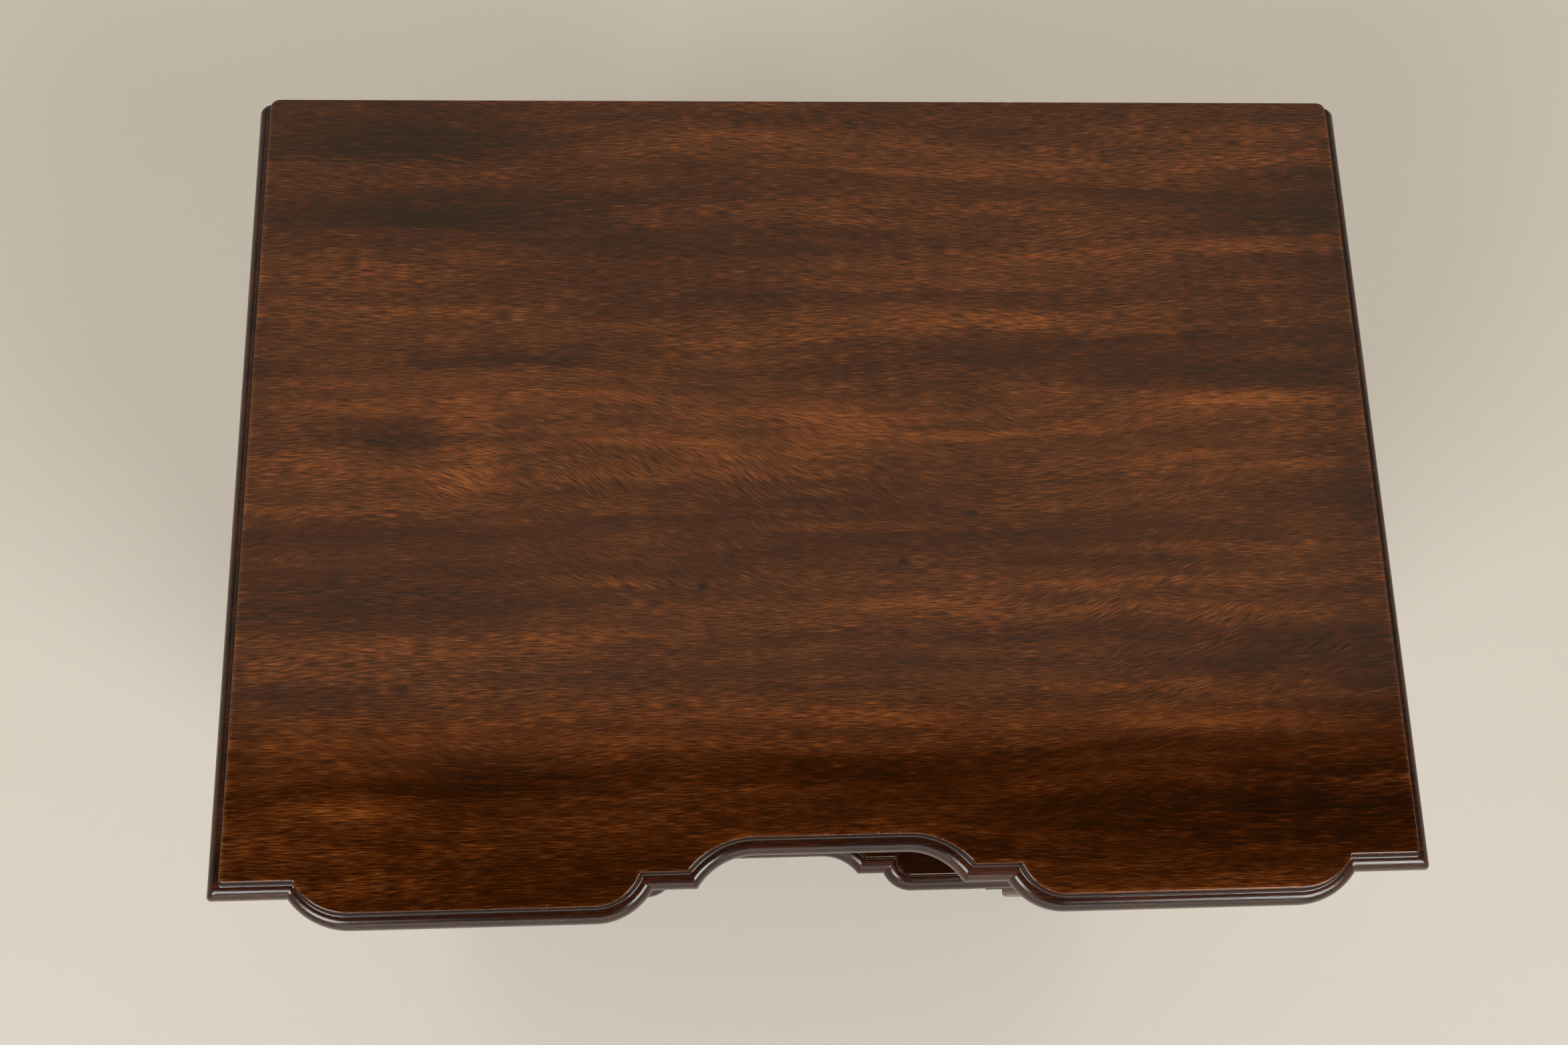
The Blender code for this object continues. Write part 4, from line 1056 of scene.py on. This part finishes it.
def post_profile(tail):
    """A post from the end of its shank to the crown of its head, as (radius, y, rubbed)."""
    shank = POST_RADII["shank"]
    collar = PLATE_FRONT - JOINT_GAP
    neck = collar - POST_COLLAR_HEIGHT
    thread = []
    for i in range(THREADS):
        thread += [(shank * THREAD_ROOT, tail - i * THREAD_PITCH, -1.0)]
        thread += [(shank, tail - (i + 0.5) * THREAD_PITCH, 0.5)]
    middle = (POST_RADII["collar"] - COLLAR_ROUND, collar - COLLAR_ROUND)
    bead = ellipse_arc(middle, (COLLAR_ROUND, -COLLAR_ROUND), -90, 90, 8)
    ball = (POST_RADII["head"], -POST_RADII["head"])
    head = ellipse_arc((0.0, PIVOT_Y), ball, HEAD_START, HEAD_END, 18)
    return [
        *thread,
        (shank, collar, 0.0),
        *((radius, y, 0.6) for radius, y in bead),
        (POST_RADII["neck"] + NECK_FLARE, neck, -0.8),
        (POST_RADII["neck"], neck - NECK_TAPER, -0.6),
        *((radius, y, 0.8 * i / len(head)) for i, (radius, y) in enumerate(head)),
    ]


def spun(profile, x, z):
    """A profile of (radius, y, rubbed) turned round an axis that points to the front."""
    turns = [2 * math.pi * i / POST_SIDES for i in range(POST_SIDES)]
    rings = []
    for radius, y, rub in profile:
        rings.append([Vector((x + radius * math.cos(a), y, z + radius * math.sin(a))) for a in turns])
    return loft(rings, [[rub] * POST_SIDES for radius, y, rub in profile])


def drilled(mesh, x):
    """The post with a hole across its head for the pin of the bail."""
    turns = [2 * math.pi * i / POST_SIDES for i in range(POST_SIDES)]
    half = DRILL_REACH * POST_RADII["head"]
    rings = []
    for end in (x - half, x + half):
        ring = [(EYE_RADIUS * math.cos(a), EYE_RADIUS * math.sin(a)) for a in turns]
        rings.append([Vector((end, PIVOT_Y + y, PULL_HEIGHT + z)) for y, z in ring])
    solids = []
    for name, solid in (("post", mesh), ("drill", loft(rings, [[0.0] * POST_SIDES] * 2))):
        data = bpy.data.meshes.new(name)
        solid.to_mesh(data)
        solid.free()
        solids.append(bpy.data.objects.new(name, data))
        scene.collection.objects.link(solids[-1])
    post, drill = solids
    hole = post.modifiers.new("eye", "BOOLEAN")
    hole.object = drill
    hole.solver = "MANIFOLD"
    graph = bpy.context.evaluated_depsgraph_get()
    cut = bpy.data.meshes.new_from_object(post.evaluated_get(graph))
    made = bmesh.new()
    made.from_mesh(cut)
    for solid in solids:
        bpy.data.objects.remove(solid)
    return made


for side, sign in (("left", -1), ("right", 1)):
    make_plate(side, sign * BLOCK_CENTRE)
    for end, way in (("outer", sign), ("inner", -sign)):
        node = f"{side}_pull_{end}_post"
        x = sign * BLOCK_CENTRE + way * PULL_SPACING / 2
        post = drilled(spun(post_profile(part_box(node)[1].y), x, PULL_HEIGHT), x)
        piece("turned_" + node, post, (brass_finish,), "drawer", "brass", node)
made_pulls = [o.name for o in scene.objects if o.name.startswith(("engraved", "turned"))]
print("pull plates and posts:", made_pulls)

# %% [markdown]
# ## Geometry Nodes trees
# What follows a path or repeats is made by a Geometry Nodes tree: it stays one recipe, and its sizes are
# named inputs. A tree gets a mesh of points or lines. At its end, instances become real meshes and get
# their finish, and the result is taken off as a plain mesh, which a piece then holds.

# %% Geometry Nodes helpers
def start_tree(name, sizes):
    """A Geometry Nodes tree with a named input for each size, and the outputs of its input node."""
    tree = bpy.data.node_groups.new(name, "GeometryNodeTree")
    tree.interface.new_socket("Geometry", in_out="INPUT", socket_type="NodeSocketGeometry")
    for label in sizes:
        tree.interface.new_socket(label, in_out="INPUT", socket_type="NodeSocketFloat")
    tree.interface.new_socket("Geometry", in_out="OUTPUT", socket_type="NodeSocketGeometry")
    return tree, add(tree, "NodeGroupInput").outputs


def end_tree(tree, geometry, finish):
    """Real meshes in place of instances, then the finish, then the way out."""
    real = add(tree, "GeometryNodeRealizeInstances", {0: geometry}).outputs[0]
    painted = add(tree, "GeometryNodeSetMaterial", {"Geometry": real, "Material": finish}).outputs[0]
    add(tree, "NodeGroupOutput", {0: painted})


def grown(tree, points, edges, sizes):
    """The plain mesh that a tree makes on a line or a set of points."""
    line = bpy.data.meshes.new("line")
    line.from_pydata(points, edges, [])
    start = bpy.data.objects.new("start", line)
    scene.collection.objects.link(start)
    recipe = start.modifiers.new("recipe", "NODES")
    recipe.node_group = tree
    for socket in tree.interface.items_tree:
        if socket.in_out == "INPUT" and socket.name in sizes:
            recipe[socket.identifier] = sizes[socket.name]
    graph = bpy.context.evaluated_depsgraph_get()
    made = bpy.data.meshes.new_from_object(start.evaluated_get(graph))
    start.modifiers.remove(recipe)
    bpy.data.objects.remove(start)
    mesh = bmesh.new()
    mesh.from_mesh(made)
    return mesh


print("trees so far:", len(bpy.data.node_groups))

# %% [markdown]
# ## Bails
# A bail is one brass rod, bent cold: a short pin at each end that turns in its post, a tight bend, and a
# bow that hangs and swells a little in the middle, where the fingers take it. That is a round section on a
# path, so a tree sweeps it: the path comes in as a line of points, and the radius grows from its ends to
# its middle. Each bail rides on its own body, so it can swing.

# %% Bails
PIN_RADIUS = 0.0017
ROD_RADIUS = 0.0024
MIDDLE_RADIUS = 0.0031
BAIL_BEND = 0.0052
BAIL_DROP = 0.031
ROD_SIDES = 20
# Shares of the way from an end of the rod to its middle
PIN_END = 0.17
ROD_START = 0.26
SWELL_START = 0.3


def bail_tree():
    tree, sizes = start_tree("bent bail", ("Pin radius", "Rod radius", "Middle radius"))
    path = add(tree, "GeometryNodeMeshToCurve", {0: sizes["Geometry"]}).outputs[0]
    along = add(tree, "GeometryNodeSplineParameter").outputs["Factor"]
    side = add(tree, "ShaderNodeMath", {0: along, 1: 2.0, 2: -1.0}, operation="MULTIPLY_ADD").outputs[0]
    side = add(tree, "ShaderNodeMath", {0: side}, operation="ABSOLUTE").outputs[0]
    inward = add(tree, "ShaderNodeMath", {0: 1.0, 1: side}, operation="SUBTRACT").outputs[0]
    ends = {"Value": inward, "From Min": PIN_END, "From Max": ROD_START}
    ends = {**ends, "To Min": sizes["Pin radius"], "To Max": sizes["Rod radius"]}
    ends = add(tree, "ShaderNodeMapRange", ends).outputs[0]
    growth = {0: sizes["Middle radius"], 1: sizes["Rod radius"]}
    growth = add(tree, "ShaderNodeMath", growth, operation="SUBTRACT").outputs[0]
    swell = {"Value": inward, "From Min": SWELL_START, "From Max": 1.0, "To Min": 0.0, "To Max": growth}
    swell = add(tree, "ShaderNodeMapRange", swell, interpolation_type="SMOOTHSTEP").outputs[0]
    radius = add(tree, "ShaderNodeMath", {0: ends, 1: swell}, operation="ADD").outputs[0]
    section = {"Resolution": ROD_SIDES, "Radius": 1.0}
    section = add(tree, "GeometryNodeCurvePrimitiveCircle", section).outputs[0]
    rod = {"Curve": path, "Profile Curve": section, "Scale": radius, "Fill Caps": True}
    end_tree(tree, add(tree, "GeometryNodeCurveToMesh", rod).outputs[0], brass_finish)
    return tree


def bail_path():
    """The middle line of a bail from pin to pin, as (x, z) from its axis."""
    pin_in = PULL_SPACING / 2 - POST_RADII["head"] - ROD_RADIUS / 2
    bend_start = PULL_SPACING / 2 + POST_RADII["head"] + ROD_RADIUS
    widest = bend_start + BAIL_BEND
    bend = ellipse_arc((bend_start, -BAIL_BEND), (BAIL_BEND, BAIL_BEND), 90, 0, 12)
    bow = ellipse_arc((0.0, -BAIL_BEND), (widest, BAIL_DROP - BAIL_BEND), 0, -90, 30)
    right = [(pin_in, 0.0), (bend_start - ROD_RADIUS / 2, 0.0), *bend, *bow[1:]]
    return right + [(-x, z) for x, z in reversed(right[:-1])]


bent_bail = bail_tree()
radii = {"Pin radius": PIN_RADIUS, "Rod radius": ROD_RADIUS, "Middle radius": MIDDLE_RADIUS}
for side, sign in (("left", -1), ("right", 1)):
    path = [(sign * BLOCK_CENTRE + x, PIVOT_Y, PULL_HEIGHT + z) for x, z in bail_path()]
    rod = grown(bent_bail, path, [(i, i + 1) for i in range(len(path) - 1)], radii)
    node = side + "_pull_bail"
    bail = piece("swept_" + node, rod, (brass_finish,), side + "_bail", "brass", node)
    print(bail.name, "in mm:", [round(v * MM, 1) for v in bail.dimensions])

# %% [markdown]
# ## Screws and panel pins
# Four slotted steel screws come up through the rails into the top, and small round-headed pins hold the
# back in its rebate. Repeated parts like these are made once and set on points: a countersunk head with a
# slot on each screw's place, and a domed head at every few centimetres of a line round the back.

# %% Screws and panel pins
SCREW_SIZES = {"Shank radius": 0.0022, "Head radius": 0.0044, "Head height": 0.0030, "Slot": 0.0011}
PIN_SIZES = {"Pitch": 0.085, "Head radius": 0.0017}
PIN_INSET = 0.0055
HEAD_SIDES = 32
SHANK_SIDES = 24
SLOT_REACH = 2.4
SLOT_DEPTH = 2.0
DOME_SCALE = (1.0, 0.35, 1.0)


def screw_tree():
    tree, sizes = start_tree("slotted screws", (*SCREW_SIZES, "Length"))
    head = {"Vertices": HEAD_SIDES, "Radius Top": sizes["Shank radius"]}
    head = {**head, "Radius Bottom": sizes["Head radius"]}
    head = add(tree, "GeometryNodeMeshCone", {**head, "Depth": sizes["Head height"]}).outputs["Mesh"]
    shank = {"Vertices": SHANK_SIDES, "Radius Top": sizes["Slot"], "Radius Bottom": sizes["Shank radius"]}
    shank = add(tree, "GeometryNodeMeshCone", {**shank, "Depth": sizes["Length"]}).outputs["Mesh"]
    whole = add(tree, "GeometryNodeMeshBoolean", {"Mesh": shank}, operation="UNION", solver="EXACT")
    tree.links.new(head, whole.inputs[1])
    wide = {0: sizes["Head radius"], 1: SLOT_REACH}
    wide = add(tree, "ShaderNodeMath", wide, operation="MULTIPLY").outputs[0]
    deep = add(tree, "ShaderNodeMath", {0: sizes["Slot"], 1: SLOT_DEPTH}, operation="MULTIPLY").outputs[0]
    block = add(tree, "ShaderNodeCombineXYZ", {0: wide, 1: sizes["Slot"], 2: deep}).outputs[0]
    block = add(tree, "GeometryNodeMeshCube", {"Size": block}).outputs["Mesh"]
    slotted = {0: whole.outputs["Mesh"], 1: block}
    slotted = add(tree, "GeometryNodeMeshBoolean", slotted, operation="DIFFERENCE", solver="EXACT")
    placed = {"Points": sizes["Geometry"], "Instance": slotted.outputs["Mesh"]}
    placed = add(tree, "GeometryNodeInstanceOnPoints", placed).outputs[0]
    end_tree(tree, placed, steel_finish)
    return tree


def pin_tree():
    tree, sizes = start_tree("panel pins", tuple(PIN_SIZES))
    line = add(tree, "GeometryNodeMeshToCurve", {0: sizes["Geometry"]}).outputs[0]
    places = {"Curve": line, "Length": sizes["Pitch"]}
    places = add(tree, "GeometryNodeResampleCurve", places, mode="LENGTH").outputs[0]
    dome = {"Segments": 16, "Rings": 8, "Radius": sizes["Head radius"]}
    dome = add(tree, "GeometryNodeMeshUVSphere", dome).outputs["Mesh"]
    dome = add(tree, "GeometryNodeTransform", {"Geometry": dome, "Scale": DOME_SCALE}).outputs[0]
    placed = add(tree, "GeometryNodeInstanceOnPoints", {"Points": places, "Instance": dome}).outputs[0]
    end_tree(tree, placed, steel_finish)
    return tree


slotted_screws = screw_tree()
for row in ("front", "rear"):
    screws = [f"{row}_{side}_top_screw" for side in ("left", "right")]
    low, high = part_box(screws[0])
    places = [(sign * (low.x + high.x) / 2, (low.y + high.y) / 2, low.z) for sign in (1, -1)]
    made = grown(slotted_screws, places, [], {**SCREW_SIZES, "Length": high.z - low.z})
    piece(row + "_slotted_screws", made, (steel_finish,), "carcase", "steel", *screws)
low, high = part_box("back_panel")
left, right = low.x + PIN_INSET, high.x - PIN_INSET
foot, head = low.z + PIN_INSET, high.z - PIN_INSET
corners = [(left, high.y, foot), (right, high.y, foot), (right, high.y, head), (left, high.y, head)]
made = grown(pin_tree(), corners, [(0, 1), (1, 2), (2, 3), (3, 0)], PIN_SIZES)
piece("back_panel_pins", made, (steel_finish,), "carcase", "steel")
